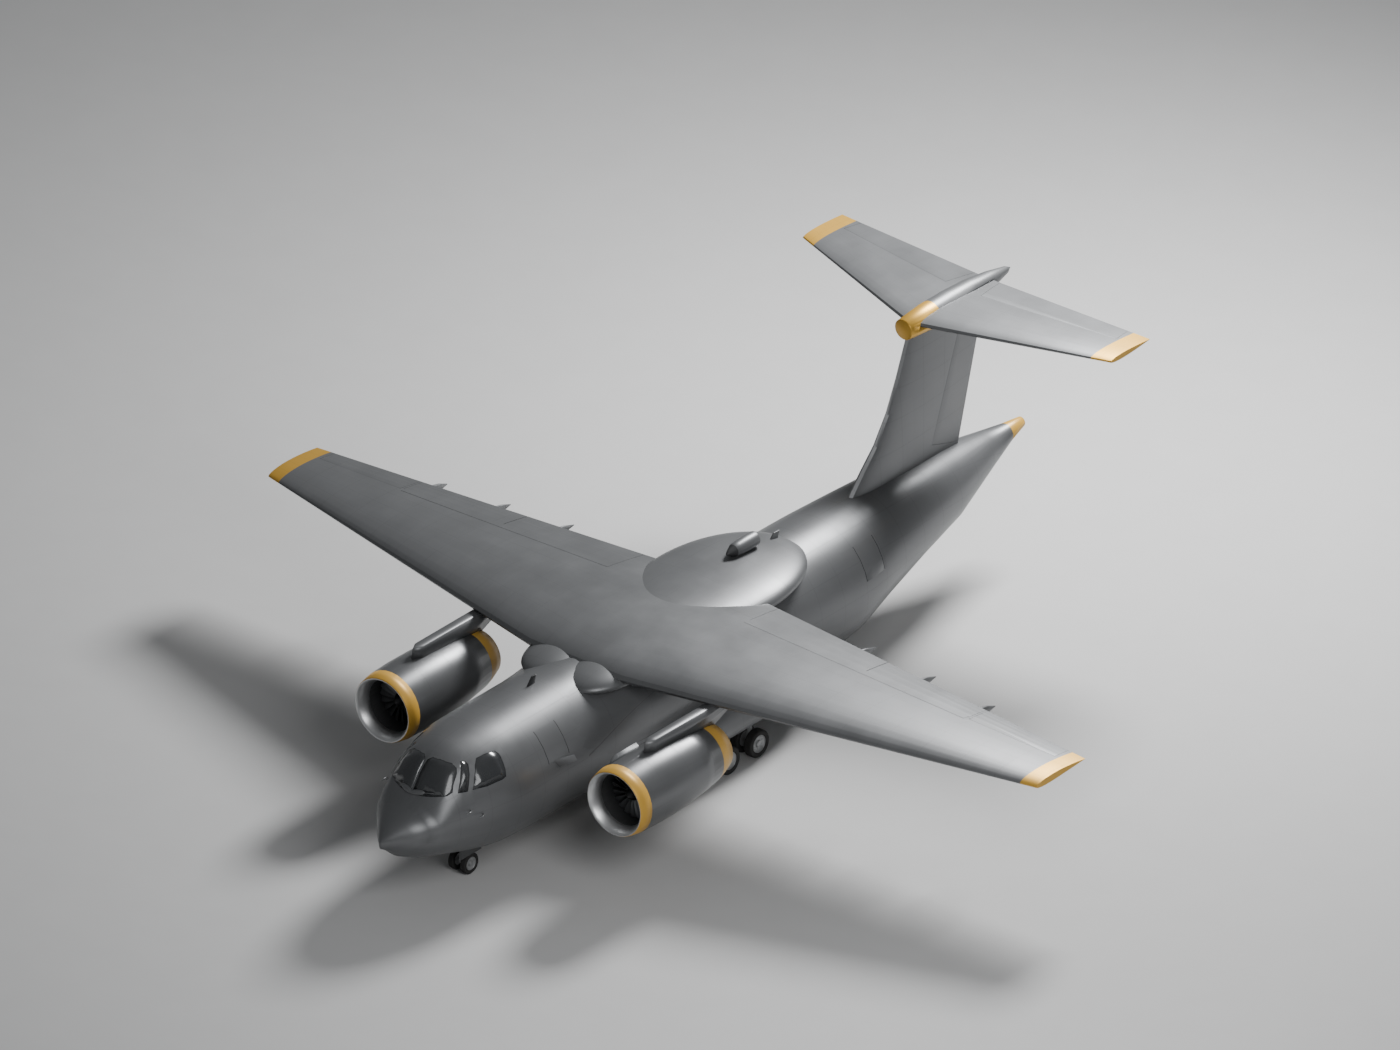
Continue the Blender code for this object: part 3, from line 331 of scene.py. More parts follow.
def inlet_skin():
    """A polished metal flare with a yellow band round its outside."""
    f = Finish("inlet_ring")
    height = f.z - ENGINE_AXIS
    across = across_of(f)
    outside = f.facing(across, height).above(0.35)
    ring = across.math("ARCTAN2", height)
    brushed = f.noise(14, 4, place=f.joined(ring * 0.4, f.y * 14, 0.0))
    metal = f.shade((0.62, 0.625, 0.63, 1), 0.86 + brushed * 0.24)
    cloud = f.noise(1.2, 4)
    yellow = f.shade(YELLOW_PAINT, 0.93 + cloud * 0.12)
    colour = f.mix(outside, metal, yellow)
    rough = 0.30 + brushed * 0.12 + outside * 0.10
    return f.finish(colour, rough, 0.85 - outside * 0.60, f.noise(60, 2) * 0.02, 0.006)


def glass():
    """Dark heated panes with faint wiped arcs."""
    f = Finish("cockpit_glass", alpha=0.90, metallic=0.35, coat_weight=0.5, coat_roughness=0.05)
    smear = f.noise(3.0, 5, (1.0, 1.0, 3.0))
    film = f.noise(0.8, 3)
    colour = f.mix(film, (0.042, 0.045, 0.049, 1), (0.075, 0.078, 0.081, 1))
    return f.finish(colour, 0.16 + smear * 0.12, height=f.noise(1.5, 2) * 0.15, depth=0.01)


def gear_metal(name, base, metallic, roughness):
    """Gloss enamel or plated steel, with oil stains and a fine scratch grain."""
    f = Finish(name, metallic=metallic)
    stain = f.noise(5.0, 5)
    grain = f.noise(40, 3, (1, 1, 6))
    return f.finish(f.shade(base, 0.72 + stain * 0.42), roughness + (grain - 0.5) * 0.15, height=grain * 0.1, depth=0.003)


def fan_metal():
    """Titanium blades, dull from the air, with a dark hub."""
    f = Finish("fan_titanium", metallic=0.85)
    across = across_of(f)
    height = f.z - ENGINE_AXIS
    radius = (across * across + height * height).math("SQRT")
    brushed = f.noise(30, 3, place=f.joined(radius * 8, across * 0.5, height * 0.5))
    hub = radius.below(0.27)
    colour = f.mix(hub, f.shade((0.22, 0.225, 0.235, 1), 0.8 + brushed * 0.4), GREY_DARK)
    return f.finish(colour, 0.34 + brushed * 0.12, height=brushed * 0.1, depth=0.003)


def scorched(name, base):
    """Hot metal, stained brown in cloudy patches."""
    f = Finish(name, metallic=0.8)
    heat = f.noise(2.5, 4, (1, 0.5, 1))
    colour = f.mix(heat, base, (0.11, 0.085, 0.07, 1))
    return f.finish(f.shade(colour, 0.75 + f.noise(12, 3) * 0.4), 0.38 + heat * 0.2, height=heat * 0.1, depth=0.004)


def nozzle_skin():
    """Yellow paint outside and heat-stained metal inside."""
    f = Finish("nozzle_paint")
    across = across_of(f)
    height = f.z - ENGINE_AXIS
    outside = f.facing(across, height).above(-0.1)
    cloud = f.noise(1.6, 4)
    soot = f.noise(3.0, 5, (1.0, 0.4, 1.0))
    yellow = f.shade(YELLOW_PAINT, 0.92 + cloud * 0.12 - (soot - 0.5) * 0.14)
    metal = f.shade((0.16, 0.14, 0.12, 1), 0.6 + soot * 0.6)
    colour = f.mix(outside, metal, yellow)
    return f.finish(colour, 0.44 + (soot - 0.5) * 0.2, 0.75 - outside * 0.65, soot * 0.05, 0.006)


def rubber():
    """Black rubber, greyed in cloudy patches of dust."""
    f = Finish("tyre_rubber")
    dust = f.noise(6.0, 5)
    fine = f.noise(120, 2)
    colour = f.mix(dust, (0.010, 0.010, 0.010, 1), (0.030, 0.029, 0.028, 1))
    return f.finish(colour, 0.74 + dust * 0.18, height=fine * 0.3, depth=0.002)


def lining(name, base, weave=55):
    """Cabin trim, seats and hard plastic with a fine grain."""
    f = Finish(name)
    grain = f.noise(weave, 4)
    patch = f.noise(2.0, 3)
    return f.finish(f.shade(base, 0.75 + grain * 0.3 + patch * 0.15), 0.62 + grain * 0.2, height=grain * 0.4, depth=0.003)


def deck():
    """A cargo floor with roller lines, tie-down rings and scuffed grip paint."""
    f = Finish("hold_floor", metallic=0.3)
    rails = f.x.size().seams(0.55, 0.035)
    rings = f.y.seams(0.50, 0.05) * f.x.size().seams(0.55, 0.05)
    grit = f.noise(160, 2)
    scuff = f.noise(3.0, 5, (2.0, 0.4, 1.0))
    colour = f.mix(rails, f.shade((0.12, 0.12, 0.118, 1), 0.75 + scuff * 0.5), (0.42, 0.42, 0.43, 1))
    colour = f.shade(colour, 1 - rings * 0.5)
    return f.finish(colour, 0.72 - rails * 0.35 + (grit - 0.5) * 0.1, height=grit * 0.2 + rails * 0.4, depth=0.006)


# Shaping tools


def pick_only(*objects):
    """Leaves only these objects selected, with the first one active."""
    bpy.ops.object.select_all(action="DESELECT")
    for obj in objects:
        obj.select_set(True)
    bpy.context.view_layer.objects.active = objects[0]


def smooth(obj, degrees=35):
    pick_only(obj)
    bpy.ops.object.shade_smooth_by_angle(angle=math.radians(degrees))
    return obj


def skin_of(node, material, degrees=35):
    """A node's own shape as one smooth skin that stands for it."""
    source = frame["nodes"][node]
    piece = bpy.data.objects.new(f"{node}_skin", source.data.copy())
    bpy.context.scene.collection.objects.link(piece)
    pick_only(piece)
    bpy.ops.object.mode_set(mode="EDIT")
    bpy.ops.mesh.select_all(action="SELECT")
    bpy.ops.mesh.remove_doubles(threshold=0.00005)
    bpy.ops.object.mode_set(mode="OBJECT")
    smooth(piece, degrees)
    slot = source.data.materials[0].name
    dress(piece, material)
    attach(piece, source["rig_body"])
    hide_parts(node)
    slot.split(".")[0]
    return piece


def round_shading(piece):
    """Shades the outer faces of a hull panel as the smooth tube that they stand for."""
    mesh = piece.data
    normals = [corner.vector.copy() for corner in mesh.corner_normals]
    for face in mesh.polygons:
        for loop in face.loop_indices:
            point = mesh.vertices[mesh.loops[loop].vertex_index].co
            out = Vector((point.x, 0, point.z - HULL_AXIS)).normalized()
            if point.z > HULL_AXIS and face.normal.dot(out) > 0.95:
                normals[loop] = (out + Vector((0, normals[loop].y, 0))).normalized()
    mesh.normals_split_custom_set(normals)


def match_shading(pieces, stations):
    """Shades hull sections as one surface at the stations where they meet."""
    corners = []
    normals = {}
    for piece in pieces:
        mesh = piece.data
        normals[piece.name] = [corner.vector.copy() for corner in mesh.corner_normals]
        for face in mesh.polygons:
            out = Vector((face.center.x, 0, face.center.z - HULL_AXIS)).normalized()
            if face.normal.dot(out) < 0.2:
                continue
            for loop in face.loop_indices:
                point = mesh.vertices[mesh.loops[loop].vertex_index].co.copy()
                if min(abs(point.y - station) for station in stations) < 0.002:
                    corners.append((piece.name, loop, point, normals[piece.name][loop].copy()))
    for name, loop, point, _ in corners:
        near = [normal for _, _, other, normal in corners if (other - point).length_squared < 0.0001]
        normals[name][loop] = sum(near, Vector()).normalized()
    for piece in pieces:
        piece.data.normals_split_custom_set(normals[piece.name])


def even_shading(piece, degrees=30):
    """Shades each face with those round it that face nearly the same way, so that slivers left by a cut don't show."""
    mesh = piece.data
    least = math.cos(math.radians(degrees))
    around = [[] for _ in mesh.vertices]
    for face in mesh.polygons:
        for vertex in face.vertices:
            around[vertex].append((face.normal.copy(), face.area))
    normals = [None] * len(mesh.loops)
    for face in mesh.polygons:
        for loop, vertex in zip(face.loop_indices, face.vertices):
            near = [normal * area for normal, area in around[vertex] if normal.dot(face.normal) > least]
            normals[loop] = sum(near, Vector()).normalized()
    mesh.normals_split_custom_set(normals)


def dress(piece, material):
    piece.data.materials.clear()
    piece.data.materials.append(material)
    return piece


def lathe(name, profile, centre, axis, steps):
    """A profile of (along, radius) points spun round an axis, X or Y, through centre."""
    along_axis = Vector((1, 0, 0)) if axis == "X" else Vector((0, 1, 0))
    centre = Vector(centre)
    up = Vector((0, 0, 1))
    places = [centre + along_axis * out + up * radius for out, radius in profile]
    bpy.ops.object.select_all(action="DESELECT")
    bpy.ops.mesh.primitive_plane_add(size=0.01, location=(0, 0, 0))
    piece = bpy.context.object
    piece.name = name
    bpy.ops.object.mode_set(mode="EDIT")
    bpy.ops.mesh.merge(type="CENTER")
    bpy.ops.transform.translate(value=places[0])
    for here, there in zip(places, places[1:]):
        bpy.ops.mesh.extrude_region_move(TRANSFORM_OT_translate={"value": there - here})
    bpy.ops.mesh.select_all(action="SELECT")
    bpy.ops.mesh.spin(steps=steps, angle=2 * math.pi, center=centre, axis=along_axis)
    bpy.ops.mesh.select_all(action="SELECT")
    bpy.ops.mesh.remove_doubles(threshold=0.0001)
    bpy.ops.mesh.normals_make_consistent(inside=False)
    bpy.ops.object.mode_set(mode="OBJECT")
    return piece


def block(name, low, high, bevel=0.01):
    """A box between two corners with rounded edges."""
    low, high = Vector(low), Vector(high)
    bpy.ops.object.select_all(action="DESELECT")
    bpy.ops.mesh.primitive_cube_add(size=1, location=(low + high) / 2)
    piece = bpy.context.object
    piece.name = name
    bpy.ops.object.mode_set(mode="EDIT")
    bpy.ops.transform.resize(value=high - low)
    bpy.ops.mesh.bevel(offset=bevel, segments=2, affect="EDGES")
    bpy.ops.object.mode_set(mode="OBJECT")
    settle(piece)
    return piece


def rod(name, start, end, radius, sides=10):
    """A round bar between two points, its ends rounded over."""
    start, end = Vector(start), Vector(end)
    bpy.ops.object.select_all(action="DESELECT")
    bpy.ops.mesh.primitive_cylinder_add(vertices=sides, radius=radius, depth=(end - start).length)
    piece = bpy.context.object
    piece.name = name
    bpy.ops.object.mode_set(mode="EDIT")
    bpy.ops.mesh.bevel(offset=radius * 0.25, segments=1, affect="EDGES")
    bpy.ops.object.mode_set(mode="OBJECT")
    turn = (end - start).to_track_quat("Z", "Y").to_matrix().to_4x4()
    piece.matrix_world = Matrix.Translation((start + end) / 2) @ turn
    settle(piece)
    return piece


def settle(piece):
    """Puts the object at the origin, with its place in its mesh."""
    pick_only(piece)
    bpy.ops.object.transform_apply(location=True, rotation=True, scale=True)
    return piece


def joined(name, parts):
    """Several parts as one piece."""
    pick_only(*parts)
    bpy.ops.object.join()
    piece = bpy.context.object
    piece.name = name
    return piece


def mirrored(piece, name):
    """A piece for the other side."""
    other = bpy.data.objects.new(name, piece.data.copy())
    bpy.context.scene.collection.objects.link(other)
    other.scale.x = -1
    settle(other)
    pick_only(other)
    bpy.ops.object.mode_set(mode="EDIT")
    bpy.ops.mesh.select_all(action="SELECT")
    bpy.ops.mesh.normals_make_consistent(inside=False)
    bpy.ops.object.mode_set(mode="OBJECT")
    return other


def mount(piece, body, slot, material, *nodes):
    dress(piece, material)
    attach(piece, body)
    if nodes:
        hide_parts(*nodes)
    return piece


# Fairings and fittings

SURFACES = {}


def place(across, station, above):
    """A point from its distance aft of the nose tip and its height above it."""
    return Vector((across, NOSE_TIP + station, 3.02 + above))


def touch(node, start, way):
    """Where a line from start first meets a node, and the way the surface faces there."""
    if node not in SURFACES:
        mesh = frame["nodes"][node].data
        faces = [face.vertices[:] for face in mesh.polygons]
        SURFACES[node] = BVHTree.FromPolygons([v.co for v in mesh.vertices], faces)
    return SURFACES[node].ray_cast(Vector(start), Vector(way).normalized())[:2]


def lump(name, middle, across, fore_aft, up_down):
    """A rounded lump with its own reach forward, aft, up and down."""
    bpy.ops.object.select_all(action="DESELECT")
    bpy.ops.mesh.primitive_uv_sphere_add(segments=72, ring_count=36, radius=1)
    piece = bpy.context.object
    piece.name = name
    for vertex in piece.data.vertices:
        vertex.co.x *= across
        vertex.co.y *= fore_aft[0] if vertex.co.y < 0 else fore_aft[1]
        vertex.co.z *= up_down[0] if vertex.co.z > 0 else up_down[1]
        vertex.co += Vector(middle)
    return smooth(piece, 60)


def flap_shroud():
    """The thin trailing lip of the wing's upper skin, which lies over the front of the flaps."""
    bpy.ops.object.select_all(action="DESELECT")
    bpy.ops.mesh.primitive_grid_add(x_subdivisions=40, y_subdivisions=3, size=1)
    piece = bpy.context.object
    for vertex in piece.data.vertices:
        across = 3.12 + (12.83 - 3.12) * (vertex.co.x + 0.5)
        lead = -6.925 + 4.29 * (across - 2.1) / 15.42
        rear = 0.66 - 0.605 * (across - 2.1) / 15.42
        line = lead + 0.76 * (rear - lead)
        station = line - 0.22 + 0.30 * (vertex.co.y + 0.5)
        level = max(upper_skin(across, line - 0.20).z, 0)
        slope = (upper_skin(across, line - 0.10).z - level) / 0.10
        vertex.co = (across, station, level + slope * (station - line + 0.20) + 0.004)
    thicken(piece, 0.003, 1.0)
    return smooth(piece, 40)


def upper_skin(across, station):
    return touch("wing", (across, station, 9), (0, 0, -1))[0]


def blister():
    """The swelling of the hull's side under the wing, which grows out of the hull with no edge."""
    bpy.ops.object.select_all(action="DESELECT")
    bpy.ops.mesh.primitive_grid_add(x_subdivisions=72, y_subdivisions=40, size=2)
    piece = bpy.context.object
    across, _, height = BLISTER_MIDDLE
    wide, high = BLISTER_REACH
    for vertex in piece.data.vertices:
        back, turn = vertex.co.x, math.radians(65 - 78 * vertex.co.y)
        side, up = math.sin(turn), math.cos(turn)
        a = (side / wide) ** 2 + (up / high) ** 2
        b = -2 * (side * across / wide ** 2 + up * (height - HULL_AXIS) / high ** 2)
        c = (across / wide) ** 2 + ((height - HULL_AXIS) / high) ** 2 - 1
        proud = (-b + math.sqrt(b * b - 4 * a * c)) / (2 * a) - HULL_RADIUS
        proud = (proud + math.sqrt(proud * proud + 0.10 ** 2)) / 2
        swell = math.cos(back * math.pi / 2) ** 2
        radius = HULL_RADIUS - 0.020 + proud * swell
        reach = BLISTER_ENDS[0] if back < 0 else BLISTER_ENDS[1]
        vertex.co = (side * radius, BLISTER_MIDDLE[1] + back * reach, HULL_AXIS + up * radius)
    thicken(piece, 0.05)
    return smooth(piece, 60)


def thicken(piece, depth, offset=-1.0):
    pick_only(piece)
    solid = piece.modifiers.new("thickness", "SOLIDIFY")
    solid.thickness = depth
    solid.offset = offset
    bpy.ops.object.modifier_apply(modifier=solid.name)
    return piece


def plate(name, corners, thickness, bevel=0.006):
    """A flat plate on a closed outline, thickened both ways, with rounded edges."""
    bpy.ops.object.select_all(action="DESELECT")
    bpy.ops.mesh.primitive_circle_add(vertices=len(corners), radius=1, fill_type="NGON")
    piece = bpy.context.object
    piece.name = name
    for vertex, corner in zip(piece.data.vertices, corners):
        vertex.co = corner
    thicken(piece, thickness, 0.0)
    soften = piece.modifiers.new("edges", "BEVEL")
    soften.width = bevel
    soften.segments = 2
    bpy.ops.object.modifier_apply(modifier=soften.name)
    bpy.ops.object.mode_set(mode="EDIT")
    bpy.ops.mesh.select_all(action="SELECT")
    bpy.ops.mesh.normals_make_consistent(inside=False)
    bpy.ops.object.mode_set(mode="OBJECT")
    return smooth(piece, 35)


def wing_fairing():
    """The dome and the two lobes on top, the swellings below, and a pod and a blade on the dome."""
    fairing = paint("fairing_paint", along(1.9), outward(1.2))
    near = blister()
    lobe = lump("lobe", *LOBE)
    parts = [lump("dome", *DOME), lobe, near, mirrored(lobe, "other_lobe"), mirrored(near, "other_blister")]
    side = [(21.35, 2.90), (21.85, 2.90), (21.95, 3.22), (21.65, 3.22)]
    parts.append(plate("dome_blade", [place(0, station, above) for station, above in side], 0.05))
    mount(joined("wing_fairing_skin", parts), "airframe", "grey_composite", fairing, "wing_fairing")
    profile = [
        (0, 0), (0.03, 0.045), (0.10, 0.085), (0.22, 0.150), (0.38, 0.215), (0.42, 0.240), (0.60, 0.265),
        (1.00, 0.290), (1.48, 0.290), (1.56, 0.270), (1.60, 0.230), (1.60, 0),
    ]
    pod = smooth(lathe("dome_pod", profile, place(0, 19.05, 3.45), "Y", 32), 30)
    nose_end = NOSE_TIP + 19.05 + 0.40
    f = Finish("pod_paint", metallic=0.5)
    dark = f.y.below(nose_end)
    cloud = f.noise(2.0, 4)
    colour = f.mix(dark, f.shade(GREY_PAINT, 0.92 + cloud * 0.12), f.shade(GREY_DARK, 0.9 + cloud * 0.2))
    mount(pod, "airframe", "grey_composite", f.finish(colour, 0.36 + cloud * 0.08 + dark * 0.12))


def fans(metal):
    """Twisted wide blades round a spinner, in each engine."""
    spinner = [
        (-0.43, 0.0), (-0.42, 0.03), (-0.38, 0.085), (-0.30, 0.160), (-0.20, 0.225), (-0.10, 0.265),
        (0.02, 0.285), (0.19, 0.295), (0.19, 0.10), (0.19, 0.0),
    ]
    centre = Vector((ENGINE_ACROSS, -9.965, ENGINE_AXIS))
    parts = [lathe("spinner", spinner, centre, "Y", 40)]
    parts += [fan_blade(centre, 2 * math.pi * i / 20) for i in range(20)]
    port = smooth(joined("fan_port_blades", parts), 40)
    starboard = mirrored(port, "fan_starboard_blades")
    mount(port, "fan_port", "fan_metal", metal, "fan_port")
    mount(starboard, "fan_starboard", "fan_metal", metal, "fan_starboard")


def fan_blade(centre, turn):
    bpy.ops.object.select_all(action="DESELECT")
    bpy.ops.mesh.primitive_grid_add(x_subdivisions=5, y_subdivisions=9, size=1)
    blade = bpy.context.object
    for vertex in blade.data.vertices:
        back, out = vertex.co.x, vertex.co.y + 0.5
        radius = 0.24 + out * 0.722
        twist = math.radians(20 + 36 * out)
        long = 0.21 + 0.11 * math.sin(out * 2.2)
        curve = 0.035 * (1 - 4 * back * back)
        aft = back * long * math.cos(twist) - curve * math.sin(twist)
        around = back * long * math.sin(twist) + curve * math.cos(twist)
        vertex.co = centre + Vector((
            radius * math.cos(turn) - around * math.sin(turn), aft, radius * math.sin(turn) + around * math.cos(turn),
        ))
    return thicken(blade, 0.010, 0.0)


def small_fittings():
    """Antenna, probes, the ledge under the hatch and the wiper covers."""
    metal = gear_metal("fitting_metal", (0.20, 0.205, 0.21, 1), 0.6, 0.36)
    grey = paint("fitting_paint", along(3.0), upward(3.0))
    blade = [(8.08, 2.83), (8.50, 2.83), (8.58, 3.16), (8.36, 3.16)]
    antenna = plate("crown_antenna", [place(0, station, above) for station, above in blade], 0.045)
    mount(antenna, "airframe", "grey_paint", paint("antenna_paint", along(3.0), upward(3.0), base=GREY_DARK))
    ledge = [(2.24, 6.80, 1.27), (2.38, 7.05, 0.93), (2.41, 7.95, 0.83), (2.33, 7.88, 1.05)]
    shelf = plate("hatch_ledge", [place(*corner) for corner in ledge], 0.05, 0.012)
    mount(shelf, "airframe", "grey_paint", grey)
    probes = []
    for station, above in ((2.83, 0.80), (3.30, 0.55)):
        spot, facing = touch("cockpit_shell", place(4, station, above), (-1, 0, 0))
        tip = spot + facing * 0.13 + Vector((0, -0.10, 0))
        probes.append(rod("mast", spot - facing * 0.03, tip, 0.022, 12))
        probes.append(rod("tube", tip + Vector((0, -0.22, 0)), tip + Vector((0, 0.06, 0)), 0.016, 12))
    port = smooth(joined("air_probes_port", probes), 40)
    mount(mirrored(port, "air_probes_starboard"), "airframe", "grey_paint", metal)
    mount(port, "airframe", "grey_paint", metal)
    wiper = wiper_cover()
    mount(mirrored(wiper, "wiper_starboard"), "airframe", "grey_paint", grey)
    mount(wiper, "airframe", "grey_paint", grey)


def wiper_cover():
    """A teardrop cover at the foot of the windscreen's post, with the arm parked along the sill."""
    low, facing = touch("cockpit_glazing", place(0.20, 1.0, 1.44), (0, 1, -0.05))
    far, far_facing = touch("cockpit_glazing", place(0.85, 1.0, 1.52), (0, 1, -0.05))
    cover = lump("cover", (0, 0, 0), 0.10, (0.30, 0.30), (0.06, 0.06))
    run = (far - low).normalized()
    rise = facing.cross(run).normalized()
    turn = Matrix((rise, run, facing)).transposed().to_4x4()
    cover.matrix_world = Matrix.Translation(low + run * 0.04 + facing * 0.015) @ turn
    settle(cover)
    arm = rod("arm", low + facing * 0.045, far + far_facing * 0.035, 0.014, 8)
    return smooth(joined("wiper_port", [cover, arm]), 50)


# Skins


def hull_skins():
    hull = paint("hull_paint", along(1.27), round_hull(1.19), lining=HOLD_LINING)
    sections = [
        skin_of(node, hull)
        for node in ("cockpit_shell", "forward_fuselage", "centre_fuselage", "aft_fuselage", "tail_cone")
    ]
    for node in ("upper_cargo_door", "nose_gear_bay", "cargo_ramp"):
        skin_of(node, hull)
    hatch = skin_of("crew_hatch", door_paint("hatch_paint", -11.073, -9.947))
    side_door = door_paint("side_door_paint", 6.397, 7.513)
    doors = [skin_of("side_door_port", side_door), skin_of("side_door_starboard", side_door)]
    for panel in (*sections[1:4], hatch, *doors):
        round_shading(panel)
    nose = paint("radome_paint", along(9), round_hull(9))
    cap = paint("tail_cap_paint", along(9), round_hull(9), base=YELLOW_PAINT, metallic=0.1)
    sections += [skin_of("radome", nose), skin_of("tail_cap", cap)]
    match_shading(sections, HULL_JOINTS)
    wing_fairing()
    side = paint("sponson_paint", along(1.3), upward(0.9))
    skin_of("sponson_port", side)
    skin_of("sponson_starboard", side)


def wing_skins():
    band = lambda f: f.x.size().above(WING_TIP_BAND)
    upper = paint("wing_paint", outward(1.45), WING_CHORD, band=band)
    even_shading(skin_of("wing", upper, 30))
    shroud = flap_shroud()
    mount(mirrored(shroud, "flap_shroud_starboard"), "airframe", "grey_paint", upper)
    shroud.name = "flap_shroud_port"
    mount(shroud, "airframe", "grey_paint", upper)
    control = paint("control_paint", outward(1.45), along(3.0))
    for node in ("inner_flap", "outer_flap", "aileron"):
        for side in ("port", "starboard"):
            skin_of(f"{node}_{side}", control, 30)


def tail_skins():
    even_shading(skin_of("fin", paint("fin_paint", along(1.2), upward(1.15)), 30))
    skin_of("rudder", paint("rudder_paint", along(4.0), upward(1.15)), 30)
    band = lambda f: f.x.size().above(TAILPLANE_TIP_BAND)
    tips = paint("tailplane_paint", outward(1.1), TAILPLANE_CHORD, band=band)
    even_shading(skin_of("stabiliser", tips, 30))
    for side in ("port", "starboard"):
        skin_of(f"elevator_{side}", tips, 30)
    front = lambda f: f.y.below(BULLET_BAND_END)
    skin_of("bullet_fairing", paint("bullet_paint", along(1.53), upward(3.0), band=front), 40)


def engine_skins():
    cowl = engine_skin("cowl_paint", None)
    ring = inlet_skin()
    nozzle = nozzle_skin()
    strut = paint("pylon_paint", along(1.5), upward(3.0))
    core = scorched("core_metal", (0.20, 0.195, 0.19, 1))
    blades = fan_metal()
    for side in ("port", "starboard"):
        skin_of(f"engine_cowl_{side}", cowl, 40)
        skin_of(f"inlet_lip_{side}", ring, 60)
        skin_of(f"exhaust_nozzle_{side}", nozzle, 40)
        skin_of(f"pylon_{side}", strut, 40)
        skin_of(f"engine_core_{side}", core, 40)
    fans(blades)


def cabin_skins():
    skin_of("cockpit_glazing", glass(), 30)
    trim = lining("cabin_trim", (0.040, 0.041, 0.042, 1))
    skin_of("flight_deck", trim)
    skin_of("instrument_panel", lining("panel_grey", (0.055, 0.056, 0.058, 1)))
    skin_of("cargo_floor", deck())


def gear_skins():
    enamel = gear_metal("gear_enamel", GEAR_WHITE, 0.1, 0.35)
    for node in ("nose_leg", "main_leg_port", "main_leg_starboard"):
        skin_of(node, enamel)


# Wheels


def tyre(centre, radius, width):
    """A tyre with four grooves round its tread, on a bead that meets the rim."""
    half = width / 2
    groove = radius * 0.022
    tread = []
    for place in (-0.48, -0.16, 0.16, 0.48):
        middle = place * half
        tread += [
            (middle - 0.014, radius - 0.004 - 0.10 * half * place ** 4),
            (middle - 0.008, radius - groove),
            (middle + 0.008, radius - groove),
            (middle + 0.014, radius - 0.004 - 0.10 * half * place ** 4),
        ]
    wall = [
        (half * 0.66, radius * 0.62), (half * 0.82, radius * 0.66), (half * 0.98, radius * 0.76),
        (half * 0.995, radius * 0.84), (half * 0.93, radius * 0.93), (half * 0.78, radius * 0.975),
    ]
    left = [(-out, up) for out, up in wall]
    right = [(out, up) for out, up in reversed(wall)]
    inside = [(half * 0.60, radius * 0.56), (-half * 0.60, radius * 0.56)]
    profile = left + tread + right + inside
    profile.append(profile[0])
    return lathe("tyre", profile, centre, "X", 56)


def hub(centre, radius, width, side):
    """A rim with a dished face, a bearing cap and a ring of bolts. side is +1 or -1, the way its face points."""
    half = width / 2
    shape = [
        (0.66, 0.565), (0.80, 0.60), (0.80, 0.62), (0.70, 0.63), (0.62, 0.56), (0.45, 0.50),
        (0.34, 0.36), (0.42, 0.26), (0.78, 0.22), (0.84, 0.17), (0.84, 0.0),
    ]
    face = [(side * half * out, radius * up) for out, up in shape]
    back = [(-side * half * 0.60, 0.0), (-side * half * 0.60, radius * 0.565)]
    body = lathe("hub", [*face, *back, face[0]], centre, "X", 40)
    parts = [body]
    for i in range(10):
        turn = 2 * math.pi * i / 10
        place = Vector((0, math.sin(turn), math.cos(turn))) * radius * 0.43
        start = Vector(centre) + place + Vector((side * half * 0.30, 0, 0))
        parts.append(rod("bolt", start, start + Vector((side * half * 0.22, 0, 0)), radius * 0.035, 6))
    return joined("hub", parts)


def wheels():
    black = rubber()
    rim = gear_metal("wheel_rim", (0.36, 0.365, 0.37, 1), 0.55, 0.38)
    fit_wheels("nose_wheels", NOSE_WHEELS, "nose_wheels", black, rim)
    for name, row in MAIN_WHEELS.items():
        tyres, hubs = fit_wheels(f"{name}_port", row, f"{name}_port", black, rim)
        for piece, slot in ((tyres, "tyre_rubber"), (hubs, "gear_steel")):
            other = mirrored(piece, piece.name.replace("port", "starboard"))
            body = f"{name}_starboard"
            mount(other, body, slot, piece.data.materials[0], *([body] if piece is tyres else []))


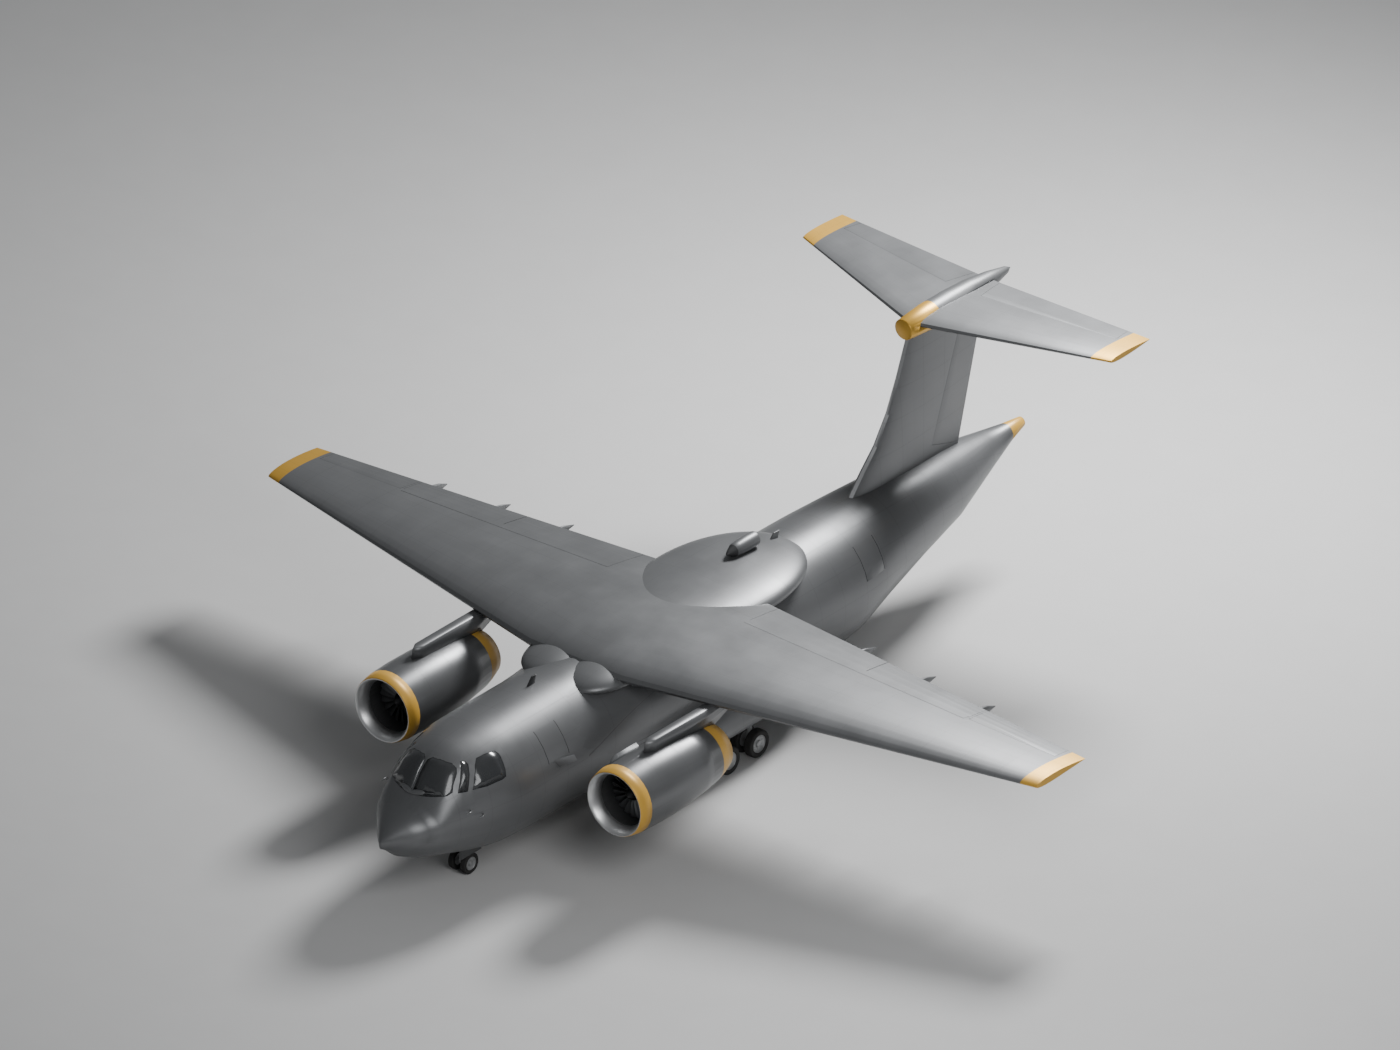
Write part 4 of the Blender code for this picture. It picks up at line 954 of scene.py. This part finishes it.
def fit_wheels(name, row, body, black, rim):
    station, height, radius, width, places = row
    middle = sum(places) / 2
    tyres = [tyre((across, station, height), radius, width) for across in places]
    hubs = [
        hub((across, station, height), radius, width, 1 if across > middle else -1)
        for across in places
    ]
    axle = rod("axle", (places[0], station, height), (places[1], station, height), 0.058, 20)
    tyre_piece = smooth(joined(f"{name}_tyres", tyres), 40)
    hub_piece = smooth(joined(f"{name}_hubs", [*hubs, axle]), 40)
    mount(tyre_piece, body, "tyre_rubber", black, body)
    mount(hub_piece, body, "gear_steel", rim)
    return tyre_piece, hub_piece


# Camera, floor and light


def camera():
    """A parallel view from ahead, above and to port."""
    right = Vector((0.7694, 0.6388, 0.0))
    up = Vector((-0.3117, 0.3754, 0.8729))
    back = Vector((0.5576, -0.6716, 0.4879))
    data = bpy.data.cameras.new("studio_camera")
    data.type = "ORTHO"
    data.ortho_scale = 49.14
    data.clip_start = 1
    data.clip_end = 500
    made = bpy.data.objects.new("studio_camera", data)
    bpy.context.scene.collection.objects.link(made)
    turn = Matrix((right, up, back)).transposed().to_4x4()
    made.matrix_world = Matrix.Translation(Vector((5.162, -6.230, 12.805)) + back * 100) @ turn
    bpy.context.scene.camera = made


def floor():
    """A pale studio floor."""
    bpy.ops.object.select_all(action="DESELECT")
    bpy.ops.mesh.primitive_plane_add(size=900, location=(0, 0, -0.004))
    ground = bpy.context.object
    ground.name = "studio_floor"
    f = Finish("floor_paint")
    mottle = f.noise(0.6, 4)
    dress(ground, f.finish(f.shade((0.56, 0.56, 0.56, 1), 0.97 + mottle * 0.06), 0.75))


def soft_light(name, place, target, size, power):
    data = bpy.data.lights.new(name, "AREA")
    data.shape = "DISK"
    data.size = size
    data.energy = power
    made = bpy.data.objects.new(name, data)
    bpy.context.scene.collection.objects.link(made)
    made.location = place
    made.rotation_euler = (Vector(target) - Vector(place)).to_track_quat("-Z", "Y").to_euler()


def lights():
    soft_light("key_light", (-2, 34, 38), (0, 0, 3), 15, 44000)
    soft_light("fill_light", (34, -26, 30), (0, -4, 3), 26, 9000)
    world = bpy.data.worlds.new("studio")
    world.use_nodes = True
    world.node_tree.nodes["Background"].inputs[0].default_value = (0.72, 0.74, 0.76, 1)
    world.node_tree.nodes["Background"].inputs[1].default_value = 0.22
    bpy.context.scene.world = world


camera()
floor()
lights()
hull_skins()
wing_skins()
tail_skins()
engine_skins()
cabin_skins()
gear_skins()
wheels()
small_fittings()
